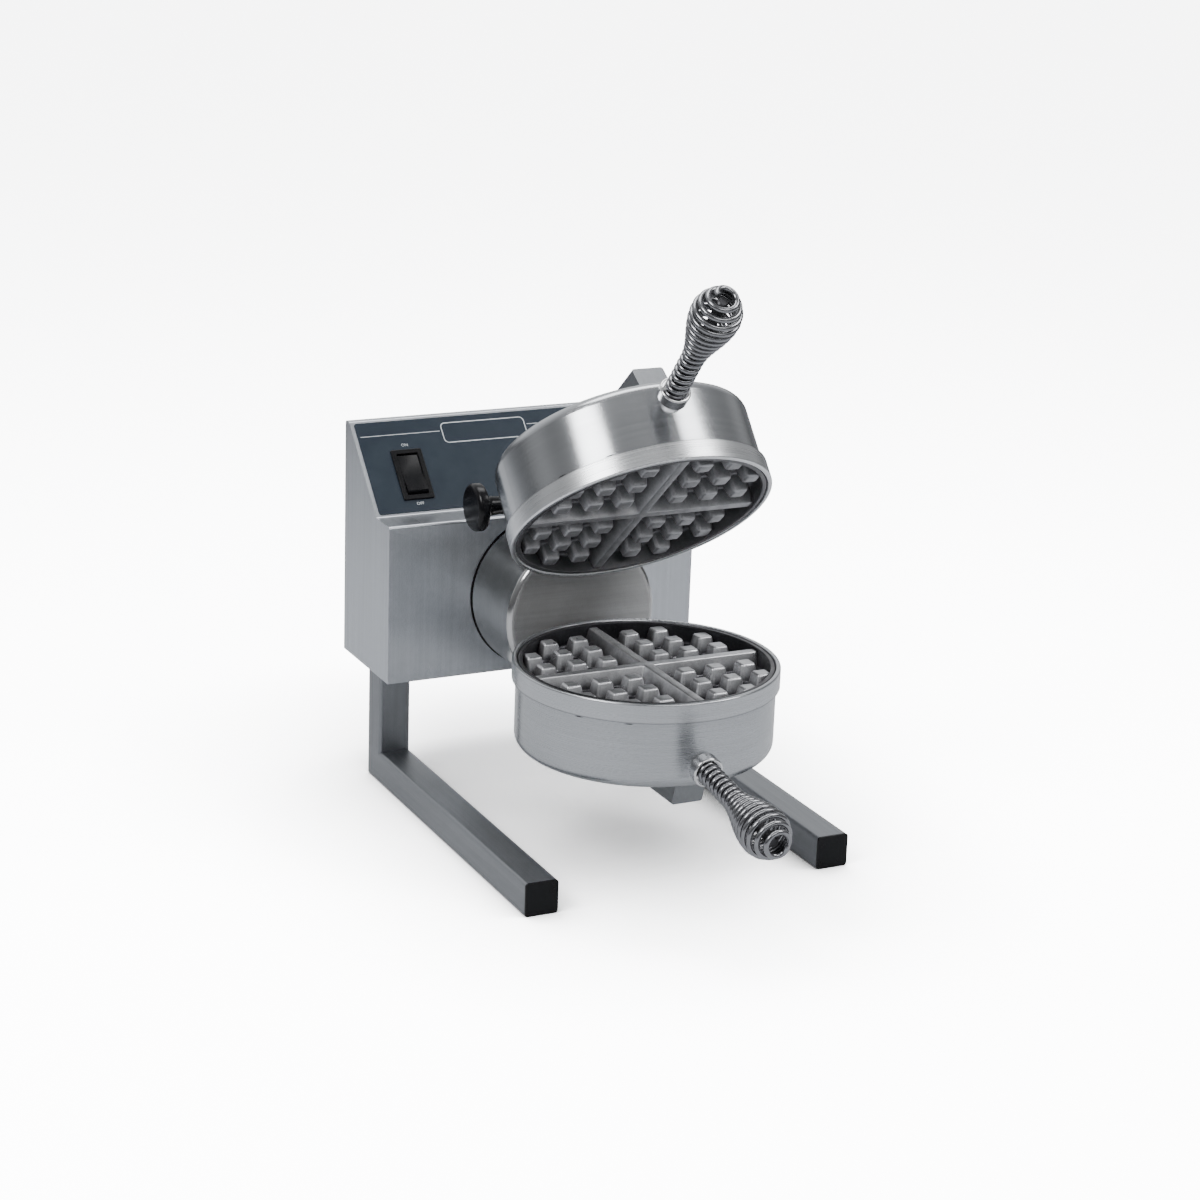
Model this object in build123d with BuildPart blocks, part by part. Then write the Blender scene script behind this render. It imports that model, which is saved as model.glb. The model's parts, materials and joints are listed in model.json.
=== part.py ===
"""Flip waffle baker: a rear housing on two runner legs, a drum that turns about a level axis,
a lower waffle head fixed to the drum and an upper head hinged to it, shown with its lid up.

Millimetres. +X is the object's right side seen from the front, +Y points to its back, +Z is up.
The origin lies on the floor, on the middle plane, half way along the depth.
A "reach" is a distance forward from the back face of the housing.
"""

import os
from math import asin, atan2, cos, hypot, pi, radians, sin, sqrt, tan

from build123d import *

os.makedirs("parts", exist_ok=True)

# Housing
housing_width = 261.0
housing_depth = 94.0
housing_base = 87.0
housing_top = 274.5
front_top = 212.8
top_flat = 7.5
ledge_start = 67.5
sheet = 1.2
bend_radius = 2.5
back_lip = 9.0
cover_recess = 1.6
slip = 0.1
tray_sheet = 1.6
tray_side = 12.0
tray_slot_length = 34.0
tray_slot_width = 4.0
tray_slot_gap = 8.0
tray_slot_counts = (4, 2)
cover_slot_length = 48.0
cover_slot_width = 4.0
cover_slot_gap = 10.0
cover_slot_rise = 40.0
cover_slot_counts = (3, 5)
cover_screw = 4.0
cover_screw_length = 8.0

# Legs
tube = 25.4
tube_wall = 2.0
tube_corner = 2.5
post_x = housing_width / 2 - tube / 2
post_front = 78.8
leg_bolt_tail = 2.0
runner_reach = 356.0
cap_flange = 1.6
cap_plug = 14.0
leg_bolt = 5.0
leg_bolt_step = 6.2
leg_bolt_head = 4.25
leg_bolt_head_height = 3.25
post_plate = 5.0

# Control panel, placed from the middle of the sloping face
overlay_thickness = 0.5
overlay_side = 3.0
overlay_end = 2.4
control_y = -8.2
switch_side = 38.8
switch_x = switch_side - housing_width / 2
bezel_width = 25.5
bezel_length = 44.5
bezel_height = 1.6
bezel_rim = 2.6
switch_depth = 24.0
rocker_pivot_depth = 5.0
rocker_tilt = 5.0
rocker_play = 0.4
rocker_keel = 4.0
rocker_pin = 1.5
switch_wall = 1.2
terminal_width = 6.3
terminal_thickness = 0.8
terminal_length = 9.0
lamp_flange = 2.0
lamp_dome = 3.0
lamp_length = 24.0
lamp_radius = 6.5
button_side = 44.5
button_x = housing_width / 2 - button_side
lamp_step = 38.0
lamp_x = button_x - lamp_step
button_radius = 9.0
button_proud = 5.0
button_travel = 2.5
button_play = 0.3
button_wall = 2.0
button_depth = 10.0
button_stem = 3.0
button_edge = 1.5

# Drum and its axis
axis_height = 149.8
drum_radius = 61.6
drum_front = 164.6
drum_sheet = 1.5
drum_roll = 5.0
drum_gap = 1.0
drum_lip = 9.0
back_plate = 2.0
slot_side = 1.3
slot_front = 156.0
shaft_radius = 17.5
front_hole_gap = 1.0
shaft_bore = 10.5
shaft_back = 20.0
shaft_flange_radius = 25.0
shaft_flange = 5.0
hub_bolt = 6.0
hub_bolt_rise = 18.0
hub_bolt_head = 5.1
hub_bolt_head_height = 3.6
block_play = 0.2
block_front = 157.5
block_corner = 3.0
block_drum_gap = 3.0
window_length = 30.0
press_gap = 0.02
lock_place = 137.0
lock_height = 47.0
lock_bolt = 8.0
lock_head = 6.4
lock_head_height = 4.0
running_fit = 0.05
bush_wall = 3.0
bearing_length = 14.0
bearing_radius = 36.0
bearing_screws = 4
bearing_screw_circle = 28.0
bearing_screw = 5.0
bearing_screw_length = 12.0
rear_bracket_reach = 33.0
foot_depth = 16.0
collar_width = 8.0
collar_wall = 6.0
stop_x = 30.0
stop_pin_radius = 4.0
stop_half = 6.0
stop_play = 0.3

# Lid hinge, in the closed position
hinge_front = 35.4
hinge_reach = housing_depth + hinge_front
hinge_rise = 29.9
hinge_pin_radius = 5.0
open_angle = 40.9
eye_radius = 9.0
stop_gap = 0.5
pin_chamfer = 0.4
pin_head_radius = 7.5
pin_head = 1.2
bracket_gap = 0.6
bracket_sheet = 3.0
bracket_set_back = 14.9
bracket_reach = hinge_reach - bracket_set_back
bracket_half = 5.5
bracket_eye = 7.5
bracket_pad_rise = 10.7
bracket_pad_height = 15.0
hold_play = 0.5

# Waffle heads
head_reach = 273.2
head_height = 65.4
body_radius = 95.4
body_corner = 9.0
rim_proud = 2.8
rim_overlap = 1.1
rim_radius = body_radius + rim_proud
rim_opening = body_radius - rim_overlap
rim_height = 14.6
rim_gap = 0.5
rim_seat = 10.0
pan_sheet = 1.2
casting_clearance = 0.3
casting_inset = 0.8
casting_wall = 3.6
pocket_depth = 16.0
casting_floor = 5.0
stud_drop = 3.0
stud_first = 21.4
stud_pitch = 24.6
stud_rows = 3
stud_top = 11.2
stud_taper = 14.0
stud_round = 1.6
stud_edge = 1.2
ridge_top = 7.0
boss_radius = 8.0
rim_round = 1.4

# Heating parts inside a head
element_radius = 62.0
element_tube = 6.6
element_bend = 10.0
element_leg = 14.0
insulation_clearance = 1.3
thermostat_radius = 9.0
thermostat_height = 10.0
element_gap_half = 30.0
terminal_space = 78.0
pocket_play = 1.0

# Arms that carry the heads
arm_width = 24.6
arm_sheet = 2.0
arm_proud = 20.4
arm_front = 71.2
arm_front_slope = 6.3
arm_back = 134.0
arm_leg_front = 118.0
arm_bolt = 6.0
arm_bolt_place = 42.0
arm_bolt_tip = 13.0
shoulder_wall = 3.5
lead_radius = 4.0
lead_place = 61.0
lead_bend = 14.0
lead_start = 110.0
grommet_wall = 2.5

# Wire-coil handles
handle_depth = 50.9
handle_tilt = 9.3
handle_length = 113.0
wire = 4.2
coil_turns = 18
coil_start = 4.4
neck_radius = 8.7
bulge_radius = 18.4
bulge_start = 40.0
bulge_place = 90.0
coil_end_radius = 6.5
coil_samples_per_turn = 48
rod_radius = 4.0
socket_radius = 11.5
socket_wall = 1.5
socket_length = 7.0
socket_round = 1.35
rod_inside = 9.0
rod_short = 9.0
rod_head_radius = 7.0
rod_head = 6.0

# Push knob that holds the lid up
knob_place = 121.0
knob_height = 75.5
knob_cap_radius = 18.5
knob_cap = 9.0
knob_round = 4.05
knob_gap = 0.5
knob_neck_radius = 8.3
knob_face_x = 73.5
knob_length = 31.0
knob_travel = 5.0
hold_pin_radius = 3.0
sleeve_radius = 8.0
sleeve_wall = 2.0
knob_bore = 16.0
shoulder = 1.5
hold_wire = 1.2
hold_turns = 7
hold_spring_play = 0.3

# Parts inside the housing
gland_length = 15.0
gland_radius = 11.0
gland_rise = 28.0
side_gap = 8.8
board_width = 66.0
board_x = post_x - side_gap - board_width / 2
board_depth = 56.0
standoff = 8.0
board_reach = 50.0
board_sheet = 1.6
board_parts = {
    "relay": (-20.0, 12.0, 18.0, 22.0, 16.0),
    "transformer": (12.0, 0.0, 34.0, 32.0, 30.0),
    "buzzer": (-20.0, -14.0, 14.0, 14.0, 8.0),
}
gland_thread = 8.0
gland_bore = 4.5
gland_nut = 4.0
terminal_block_reach = 20.0
terminal_block_width = 48.0
terminal_block_x = side_gap + terminal_block_width / 2 - post_x
gland_shift = 15.0
gland_x = terminal_block_x + gland_shift
terminal_block_depth = 22.0
terminal_block_height = 18.0
harness_radius = 3.5
harness_reach = 11.0
harness_bend = 8.0
harness_end = 64.0
harness_play = 0.3
harness_break = 1.0


def coil_radius(along):
    """Outer radius of the handle's coil at a distance from the pan's wall."""
    if along < bulge_start:
        return neck_radius
    if along < bulge_place:
        share = (along - bulge_start) / (bulge_place - bulge_start)
        return neck_radius + (bulge_radius - neck_radius) * (1 - cos(pi * share)) / 2
    share = min(1.0, (along - bulge_place) / (handle_length - bulge_place))
    return coil_end_radius + (bulge_radius - coil_end_radius) * cos(pi * share / 2)


def coil_point(turn):
    """Centre of the handle's wire after a number of turns, in the handle's own frame."""
    coil_end = handle_length - wire / 2
    along = coil_start + (coil_end - coil_start) * turn / coil_turns
    radius = coil_radius(along) - wire / 2
    return Vector(radius * cos(2 * pi * turn), radius * sin(2 * pi * turn), along)


# The whole depth, from the cord gland to the lower handle's tip, is centred on the origin
tilt_sin = sin(radians(handle_tilt))
tilt_cos = cos(radians(handle_tilt))
sample_count = coil_turns * coil_samples_per_turn
coil_samples = [coil_point(coil_turns * step / sample_count) for step in range(sample_count + 1)]
coil_reach = max(point.Y * tilt_sin + point.Z * tilt_cos for point in coil_samples) + wire / 2
back_y = (head_reach + body_radius + coil_reach - gland_length) / 2


pieces = []


def y_at(reach):
    """Y of a point that lies the given distance in front of the housing's back face."""
    return back_y - reach


def keep(piece, name):
    """Label one finished piece, write it under its own name and list it."""
    piece.label = name
    export_step(piece, f"parts/{name}.step")
    pieces.append(piece)


def keep_group(block, name):
    """Label and write a set of identical small pieces that share one node."""
    keep(Compound(label=name, children=list(block.part.solids())), name)


# Placement of the two heads
head_y = y_at(head_reach)
hinge_y = y_at(hinge_reach)
hinge_z = axis_height + hinge_rise
lower_place = Location((0, head_y, axis_height - rim_gap / 2), (180, 0, 0))
closed_place = Location((0, head_y, axis_height + rim_gap / 2), (0, 0, 180))
hinge_place = Location((0, hinge_y, hinge_z))
upper_place = hinge_place * Location((0, 0, 0), (-open_angle, 0, 0)) * hinge_place.inverse() * closed_place
head_places = {"lower": lower_place, "upper": upper_place}


def keep_both(piece, name):
    """Write one head piece twice: turned into the lower head and into the raised upper head."""
    for side, place in head_places.items():
        keep(piece.moved(place), f"{side}_{name}")


# Housing shell: folded sheet, open at the back and below
front_y = y_at(housing_depth)
ledge_y = y_at(ledge_start)
flat_y = y_at(top_flat)
slope_angle = atan2(housing_top - front_top, ledge_start - top_flat)
slope_length = hypot(housing_top - front_top, ledge_start - top_flat)
panel_middle = (0, (flat_y + ledge_y) / 2, (housing_top + front_top) / 2)
panel = Plane(origin=panel_middle, x_dir=(1, 0, 0), z_dir=(0, -sin(slope_angle), cos(slope_angle)))
switch_plane, lamp_plane, button_plane = [
    Plane(origin=panel.from_local_coords((x, control_y, 0)), x_dir=panel.x_dir, z_dir=panel.z_dir)
    for x in (switch_x, lamp_x, button_x)
]
housing_outline = [
    (back_y, housing_base),
    (back_y, housing_top),
    (flat_y, housing_top),
    (ledge_y, front_top),
    (front_y, front_top),
    (front_y, housing_base),
]
fold_shift = sheet * tan(slope_angle / 2)
inner_width = housing_width - 2 * sheet
inner_back = y_at(cover_recess + sheet)
inner_front = front_y + sheet
inner_outline = [
    (inner_back, housing_base),
    (inner_back, housing_top - sheet),
    (flat_y + fold_shift, housing_top - sheet),
    (ledge_y + fold_shift, front_top - sheet),
    (inner_front, front_top - sheet),
    (inner_front, housing_base),
]
housing_middle = (housing_base + housing_top) / 2
housing_height = housing_top - housing_base
cover_screw_x = inner_width / 2 - back_lip / 2
cover_screw_z = [housing_base + sheet + back_lip / 2, housing_middle, housing_top - sheet - back_lip / 2]
cover_screw_spots = [(side * cover_screw_x, z) for side in (-1, 1) for z in cover_screw_z]
front_hole_radius = shaft_radius + front_hole_gap
switch_opening = (bezel_width - 2 * bezel_rim, bezel_length - 2 * bezel_rim)

with BuildPart() as housing_shell:
    with BuildSketch(Plane.YZ.offset(-housing_width / 2)):
        Polygon(*housing_outline, align=None)
    extrude(amount=housing_width)
    bends = housing_shell.edges().filter_by(Axis.X).filter_by_position(Axis.Z, front_top - sheet, housing_top + sheet)
    fillet(bends, bend_radius)
    with BuildSketch(Plane.YZ.offset(-inner_width / 2)):
        Polygon(*inner_outline, align=None)
    extrude(amount=inner_width, mode=Mode.SUBTRACT)
    with BuildSketch(Plane.XZ.offset(-back_y)):
        with Locations((0, housing_middle)):
            Rectangle(inner_width, housing_height - 2 * sheet)
    extrude(amount=cover_recess, mode=Mode.SUBTRACT)
    with BuildSketch(Plane.XZ.offset(-back_y)):
        with Locations((0, housing_middle)):
            Rectangle(inner_width - 2 * back_lip, housing_height - 2 * (sheet + back_lip))
    extrude(amount=cover_recess + 2 * sheet, mode=Mode.SUBTRACT)
    with BuildSketch(Plane.XZ.offset(-inner_front)):
        with Locations((0, axis_height)):
            Circle(front_hole_radius)
            with PolarLocations(bearing_screw_circle, bearing_screws, 45):
                Circle(bearing_screw / 2 + slip)
    extrude(amount=2 * sheet, both=True, mode=Mode.SUBTRACT)
    with BuildSketch(Plane.XZ.offset(-back_y)):
        with Locations(*cover_screw_spots):
            Circle(cover_screw / 2)
    extrude(amount=cover_recess + 2 * sheet, mode=Mode.SUBTRACT)
    with BuildSketch(panel):
        with Locations((switch_x, control_y)):
            Rectangle(*switch_opening)
        with Locations((lamp_x, control_y)):
            Circle(lamp_radius)
        with Locations((button_x, control_y)):
            Circle(button_radius + button_wall)
    extrude(amount=2 * sheet, both=True, mode=Mode.SUBTRACT)
keep(housing_shell.part, "housing_shell")

# Base tray: closes the housing below, with turned-up sides and rows of vent slots
tray_front = inner_front + slip
tray_back = inner_back - slip
tray_depth = tray_back - tray_front
tray_middle_y = (tray_back + tray_front) / 2
tray_width = inner_width - 2 * slip
tray_top = housing_base + tray_sheet
post_y = y_at(post_front) + tube / 2
leg_bolt_spots = [(side * post_x, post_y + step * leg_bolt_step) for side in (-1, 1) for step in (-1, 1)]

with BuildPart() as base_tray:
    with BuildSketch(Plane.XY.offset(housing_base)):
        with Locations((0, tray_middle_y)):
            Rectangle(tray_width, tray_depth)
    extrude(amount=tray_side)
    with BuildSketch(Plane.XY.offset(tray_top)):
        with Locations((0, tray_middle_y)):
            Rectangle(tray_width - 2 * tray_sheet, tray_depth + tray_sheet)
    extrude(amount=tray_side, mode=Mode.SUBTRACT)
    with BuildSketch(Plane.XY.offset(housing_base)):
        with Locations((0, y_at(post_front) - tray_slot_gap)):
            with GridLocations(tray_slot_length + tray_slot_gap, 2 * tray_slot_width, *tray_slot_counts):
                SlotOverall(tray_slot_length, tray_slot_width)
        with Locations(*leg_bolt_spots):
            Circle(leg_bolt / 2 + slip)
    extrude(amount=tray_sheet, mode=Mode.SUBTRACT)
keep(base_tray.part, "base_tray")

# Rear cover: a flat plate in the shell's back recess, with vent louvres and the cord's way in
cover_thickness = cover_recess - slip
cover_size = (inner_width - 4 * slip, housing_height - 2 * sheet - 4 * slip)
gland_z = housing_base + gland_rise

with BuildPart() as rear_cover:
    with BuildSketch(Plane.XZ.offset(-back_y)):
        with Locations((0, housing_middle)):
            Rectangle(*cover_size)
        with Locations((0, housing_middle + cover_slot_rise)):
            with GridLocations(cover_slot_length + cover_slot_gap, cover_slot_gap, *cover_slot_counts):
                SlotOverall(cover_slot_length, cover_slot_width, mode=Mode.SUBTRACT)
        with Locations(*cover_screw_spots):
            Circle(cover_screw / 2 + slip, mode=Mode.SUBTRACT)
        with Locations((gland_x, gland_z)):
            Circle(gland_thread + slip, mode=Mode.SUBTRACT)
    extrude(amount=cover_thickness)
keep(rear_cover.part, "rear_cover")

with BuildPart() as cover_screws:
    with BuildSketch(Plane.XZ.offset(-back_y)):
        with Locations(*cover_screw_spots):
            Circle(cover_screw)
    extrude(amount=-cover_screw / 2)
    with BuildSketch(Plane.XZ.offset(-back_y)):
        with Locations(*cover_screw_spots):
            Circle(cover_screw / 2)
    extrude(amount=cover_screw_length)
    fillet(cover_screws.edges().group_by(Axis.Y)[-1], cover_screw / 4)
keep_group(cover_screws, "rear_cover_screws")

# Legs: one bent square tube under each side of the housing, a post on a long runner
runner_front = runner_reach - cap_flange
bore = tube - 2 * tube_wall
for side, side_name in ((-1, "left"), (1, "right")):
    with BuildPart() as leg:
        with BuildLine():
            Polyline(
                (side * post_x, y_at(runner_front), tube / 2),
                (side * post_x, post_y, tube / 2),
                (side * post_x, post_y, housing_base),
            )
        with BuildSketch(Plane.XZ.offset(-y_at(runner_front))):
            with Locations((side * post_x, tube / 2)):
                RectangleRounded(tube, tube, tube_corner)
                Rectangle(bore, bore, mode=Mode.SUBTRACT)
        sweep(transition=Transition.RIGHT)
        with BuildSketch(Plane.XY.offset(housing_base - post_plate)):
            with Locations((side * post_x, post_y)):
                Rectangle(bore, bore)
        extrude(amount=post_plate)
        with BuildSketch(Plane.XY.offset(housing_base)):
            with Locations(*leg_bolt_spots):
                Circle(leg_bolt / 2)
        extrude(amount=-post_plate, mode=Mode.SUBTRACT)
    keep(leg.part, f"leg_{side_name}")

with BuildPart() as leg_bolts:
    with BuildSketch(Plane.XY.offset(tray_top)):
        with Locations(*leg_bolt_spots):
            RegularPolygon(leg_bolt_head, 6)
    extrude(amount=leg_bolt_head_height)
    with BuildSketch(Plane.XY.offset(tray_top)):
        with Locations(*leg_bolt_spots):
            Circle(leg_bolt / 2)
    extrude(amount=-tray_sheet - post_plate - leg_bolt_tail)
keep_group(leg_bolts, "leg_bolts")

# Runner end caps: square plugs with a thin flange, in the front end of each runner
cap_plug_size = bore - 2 * slip
with BuildPart() as runner_end_caps:
    with BuildSketch(Plane.XZ.offset(-y_at(runner_front))):
        with Locations((-post_x, tube / 2), (post_x, tube / 2)):
            RectangleRounded(tube, tube, tube_corner)
    extrude(amount=cap_flange)
    with BuildSketch(Plane.XZ.offset(-y_at(runner_front))):
        with Locations((-post_x, tube / 2), (post_x, tube / 2)):
            Rectangle(cap_plug_size, cap_plug_size)
            Rectangle(cap_plug_size - 2 * tube_wall, cap_plug_size - 2 * tube_wall, mode=Mode.SUBTRACT)
    extrude(amount=-cap_plug)
keep_group(runner_end_caps, "runner_end_caps")

# Control panel overlay, lying on the sloping face
with BuildPart() as panel_overlay:
    with BuildSketch(panel):
        RectangleRounded(housing_width - 2 * overlay_side, slope_length - 2 * overlay_end, overlay_end)
        with Locations((switch_x, control_y)):
            Rectangle(*switch_opening, mode=Mode.SUBTRACT)
        with Locations((lamp_x, control_y)):
            Circle(lamp_radius, mode=Mode.SUBTRACT)
        with Locations((button_x, control_y)):
            Circle(button_radius + button_wall, mode=Mode.SUBTRACT)
    extrude(amount=overlay_thickness)
keep(panel_overlay.part, "panel_overlay")

# Rocker switch: a framed body let into the panel and a rocker on stub pins
switch_body_size = (switch_opening[0] - 2 * slip, switch_opening[1] - 2 * slip)
well_size = (switch_body_size[0] - 2 * switch_wall, switch_body_size[1] - 2 * switch_wall)
well_depth = rocker_pivot_depth + rocker_keel + well_size[1] / 2 * sin(radians(rocker_tilt)) + rocker_play
pivot_point = panel.from_local_coords((switch_x, control_y, -rocker_pivot_depth))
pivot_plane = Plane(origin=pivot_point, x_dir=panel.y_dir, z_dir=(1, 0, 0))
rocker_width = well_size[0] - 2 * rocker_play

with BuildPart() as switch_body:
    with BuildSketch(switch_plane.offset(overlay_thickness)):
        RectangleRounded(bezel_width, bezel_length, bezel_rim / 2)
    extrude(amount=bezel_height)
    fillet(switch_body.faces().sort_by(Axis(switch_plane.origin, switch_plane.z_dir))[-1].edges(), bezel_height / 2)
    with BuildSketch(switch_plane.offset(overlay_thickness)):
        Rectangle(*switch_body_size)
    extrude(amount=-switch_depth)
    with BuildSketch(switch_plane.offset(overlay_thickness + bezel_height)):
        Rectangle(*well_size)
    extrude(amount=-(overlay_thickness + bezel_height + well_depth), mode=Mode.SUBTRACT)
    with BuildSketch(pivot_plane):
        Circle(rocker_pin + slip)
    extrude(amount=rocker_width / 2 + rocker_play + switch_wall / 2, both=True, mode=Mode.SUBTRACT)
    with BuildSketch(switch_plane.offset(overlay_thickness - switch_depth)):
        with GridLocations(switch_opening[0] / 2, switch_opening[1] / 3, 2, 2):
            Rectangle(terminal_thickness, terminal_width)
    extrude(amount=-terminal_length)
keep(switch_body.part, "switch_body")

rocker_end = well_size[1] / 2 - rocker_play
rocker_plane = Plane(origin=pivot_point, x_dir=panel.y_dir.rotate(Axis.X, -rocker_tilt), z_dir=(1, 0, 0))
rocker_face = rocker_pivot_depth + overlay_thickness + bezel_height / 2
lift = rocker_end * tan(radians(rocker_tilt))
with BuildPart() as switch_rocker:
    with BuildSketch(rocker_plane):
        Circle(rocker_end)
        with BuildLine():
            Polyline(
                (-rocker_end, -rocker_keel),
                (-rocker_end, rocker_face + lift),
                (0, rocker_face),
                (rocker_end, rocker_face + lift),
                (rocker_end, -rocker_keel),
                close=True,
            )
        make_face(mode=Mode.INTERSECT)
    extrude(amount=rocker_width / 2, both=True)
    with BuildSketch(rocker_plane):
        Circle(rocker_pin)
    extrude(amount=rocker_width / 2 + rocker_play + switch_wall / 2 - slip, both=True)
keep(switch_rocker.part, "switch_rocker")

# Indicator lamp
with BuildPart() as indicator_lamp:
    with BuildSketch(lamp_plane.offset(overlay_thickness)):
        Circle(lamp_radius + lamp_flange)
    extrude(amount=lamp_flange)
    with BuildSketch(lamp_plane.offset(overlay_thickness + lamp_flange)):
        Circle(lamp_radius - lamp_flange / 2)
    extrude(amount=lamp_dome)
    fillet(indicator_lamp.faces().sort_by(Axis(lamp_plane.origin, lamp_plane.z_dir))[-1].edges(), lamp_dome / 2)
    with BuildSketch(lamp_plane.offset(overlay_thickness)):
        Circle(lamp_radius - slip)
    extrude(amount=-lamp_length)
keep(indicator_lamp.part, "indicator_lamp")

# Timer push button in its ring
button_floor = button_travel + button_depth + button_play
with BuildPart() as button_ring:
    with BuildSketch(button_plane.offset(overlay_thickness)):
        Circle(button_radius + button_wall + lamp_flange)
    extrude(amount=lamp_flange)
    with BuildSketch(button_plane.offset(overlay_thickness)):
        Circle(button_radius + button_wall - slip)
    extrude(amount=-(overlay_thickness + button_floor + button_wall))
    with BuildSketch(button_plane.offset(overlay_thickness + lamp_flange)):
        Circle(button_radius)
    extrude(amount=-(overlay_thickness + lamp_flange + button_floor), mode=Mode.SUBTRACT)
    with BuildSketch(button_plane.offset(-button_floor)):
        Circle(button_stem + running_fit)
    extrude(amount=-button_wall, mode=Mode.SUBTRACT)
keep(button_ring.part, "button_ring")

with BuildPart() as timer_button:
    with BuildSketch(button_plane.offset(-button_depth)):
        Circle(button_radius - button_play)
    extrude(amount=button_depth + overlay_thickness + lamp_flange + button_proud)
    fillet(timer_button.faces().sort_by(Axis(button_plane.origin, button_plane.z_dir))[-1].edges(), button_edge)
    with BuildSketch(button_plane.offset(-button_depth)):
        Circle(button_stem)
    extrude(amount=-(button_travel + button_play + button_wall))
keep(timer_button.part, "timer_button")

# Drum: a cup with a rolled front edge, a turned-in back lip and a slot for the arms on both sides
drum_back = housing_depth + drum_gap
drum_bore = drum_radius - drum_sheet
drum_plane = Plane.XZ.offset(-y_at(drum_back))
lean = atan2(head_reach - arm_back - hinge_reach, head_height + arm_proud - hinge_rise)
eye_to_corner = hypot(head_reach - arm_back - hinge_reach, head_height + arm_proud - hinge_rise)
edge_lean = radians(open_angle) - lean - asin(eye_radius / eye_to_corner)
slot_height = sqrt(drum_radius**2 - (arm_width / 2) ** 2)
slot_rise = slot_height - hinge_rise
slot_back = hinge_reach - eye_radius / cos(edge_lean) - slot_rise * tan(edge_lean) - stop_gap
slot_left = arm_width / 2 + slot_side
slot_right = arm_width / 2 + bracket_gap + bracket_sheet + slot_side
slot_middle = ((slot_right - slot_left) / 2, y_at((slot_back + slot_front) / 2))

with BuildPart() as drum_shell:
    with BuildSketch(drum_plane):
        with Locations((0, axis_height)):
            Circle(drum_radius)
    extrude(amount=drum_front - drum_back)
    fillet(drum_shell.faces().sort_by(Axis.Y)[0].edges(), drum_roll)
    offset(amount=-drum_sheet, openings=drum_shell.faces().sort_by(Axis.Y)[-1])
    with BuildSketch(drum_plane):
        with Locations((0, axis_height)):
            Circle(drum_radius)
            Circle(drum_bore - drum_lip, mode=Mode.SUBTRACT)
    extrude(amount=drum_sheet)
    with BuildSketch(Plane.XY.offset(axis_height)):
        with Locations(slot_middle):
            Rectangle(slot_left + slot_right, slot_front - slot_back)
    extrude(amount=2 * drum_radius, both=True, mode=Mode.SUBTRACT)
keep(drum_shell.part, "drum_shell")

back_plate_reach = drum_back + drum_sheet + slip
plate_front = back_plate_reach + back_plate
with BuildPart() as drum_back_plate:
    with BuildSketch(Plane.XZ.offset(-y_at(back_plate_reach))):
        with Locations((0, axis_height)):
            Circle(drum_bore - slip)
            Circle(shaft_radius + slip, mode=Mode.SUBTRACT)
    extrude(amount=back_plate)
keep(drum_back_plate.part, "drum_back_plate")

# Hollow hub shaft with its front flange
flange_reach = plate_front + slip
block_back = flange_reach + shaft_flange + slip
with BuildPart() as hub_shaft:
    with BuildSketch(Plane.XZ.offset(-y_at(shaft_back))):
        with Locations((0, axis_height)):
            Circle(shaft_radius)
    extrude(amount=flange_reach - shaft_back)
    with BuildSketch(Plane.XZ.offset(-y_at(flange_reach))):
        with Locations((0, axis_height)):
            Circle(shaft_flange_radius)
    extrude(amount=shaft_flange)
    with BuildSketch(Plane.XZ.offset(-y_at(shaft_back))):
        with Locations((0, axis_height)):
            Circle(shaft_bore)
    extrude(amount=block_back - shaft_back, mode=Mode.SUBTRACT)
    with BuildSketch(Plane.XZ.offset(-y_at(flange_reach))):
        with Locations((0, axis_height)):
            with GridLocations(1, 2 * hub_bolt_rise, 1, 2):
                Circle(hub_bolt / 2)
    extrude(amount=shaft_flange, mode=Mode.SUBTRACT)
keep(hub_shaft.part, "hub_shaft")

# Hub block: the bar inside the drum that the lid hinges on and the lower arm bolts to
block_half = arm_width / 2 - arm_sheet - block_play
block_low = axis_height - drum_bore + block_drum_gap
block_high = hinge_z + eye_radius
lock_spots = [(hinge_y, 2 * axis_height - hinge_z), (y_at(head_reach - lock_place), axis_height - lock_height)]

with BuildPart() as hub_block:
    with BuildSketch(Plane.YZ.offset(-block_half)):
        with Locations((y_at((block_back + block_front) / 2), (block_low + block_high) / 2)):
            RectangleRounded(block_front - block_back, block_high - block_low, block_corner)
        with Locations((hinge_y, hinge_z)):
            Circle(hinge_pin_radius + press_gap, mode=Mode.SUBTRACT)
        with Locations(*lock_spots):
            Circle(lock_bolt / 2 + press_gap, mode=Mode.SUBTRACT)
        with Locations((y_at(block_back + window_length / 2), axis_height - shaft_bore / 2)):
            Rectangle(window_length, shaft_bore, mode=Mode.SUBTRACT)
    extrude(amount=2 * block_half)
    with BuildSketch(Plane.XZ.offset(-y_at(block_back))):
        with Locations((0, axis_height)):
            with GridLocations(1, 2 * hub_bolt_rise, 1, 2):
                Circle(hub_bolt / 2 + press_gap)
    extrude(amount=block_front - block_back, mode=Mode.SUBTRACT)
keep(hub_block.part, "hub_block")

with BuildPart() as hub_bolts:
    with BuildSketch(Plane.XZ.offset(-y_at(block_front + slip))):
        with Locations((0, axis_height)):
            with GridLocations(1, 2 * hub_bolt_rise, 1, 2):
                RegularPolygon(hub_bolt_head, 6)
    extrude(amount=hub_bolt_head_height)
    with BuildSketch(Plane.XZ.offset(-y_at(block_front + slip))):
        with Locations((0, axis_height)):
            with GridLocations(1, 2 * hub_bolt_rise, 1, 2):
                Circle(hub_bolt / 2)
    extrude(amount=flange_reach - block_front)
keep_group(hub_bolts, "hub_bolts")

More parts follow.
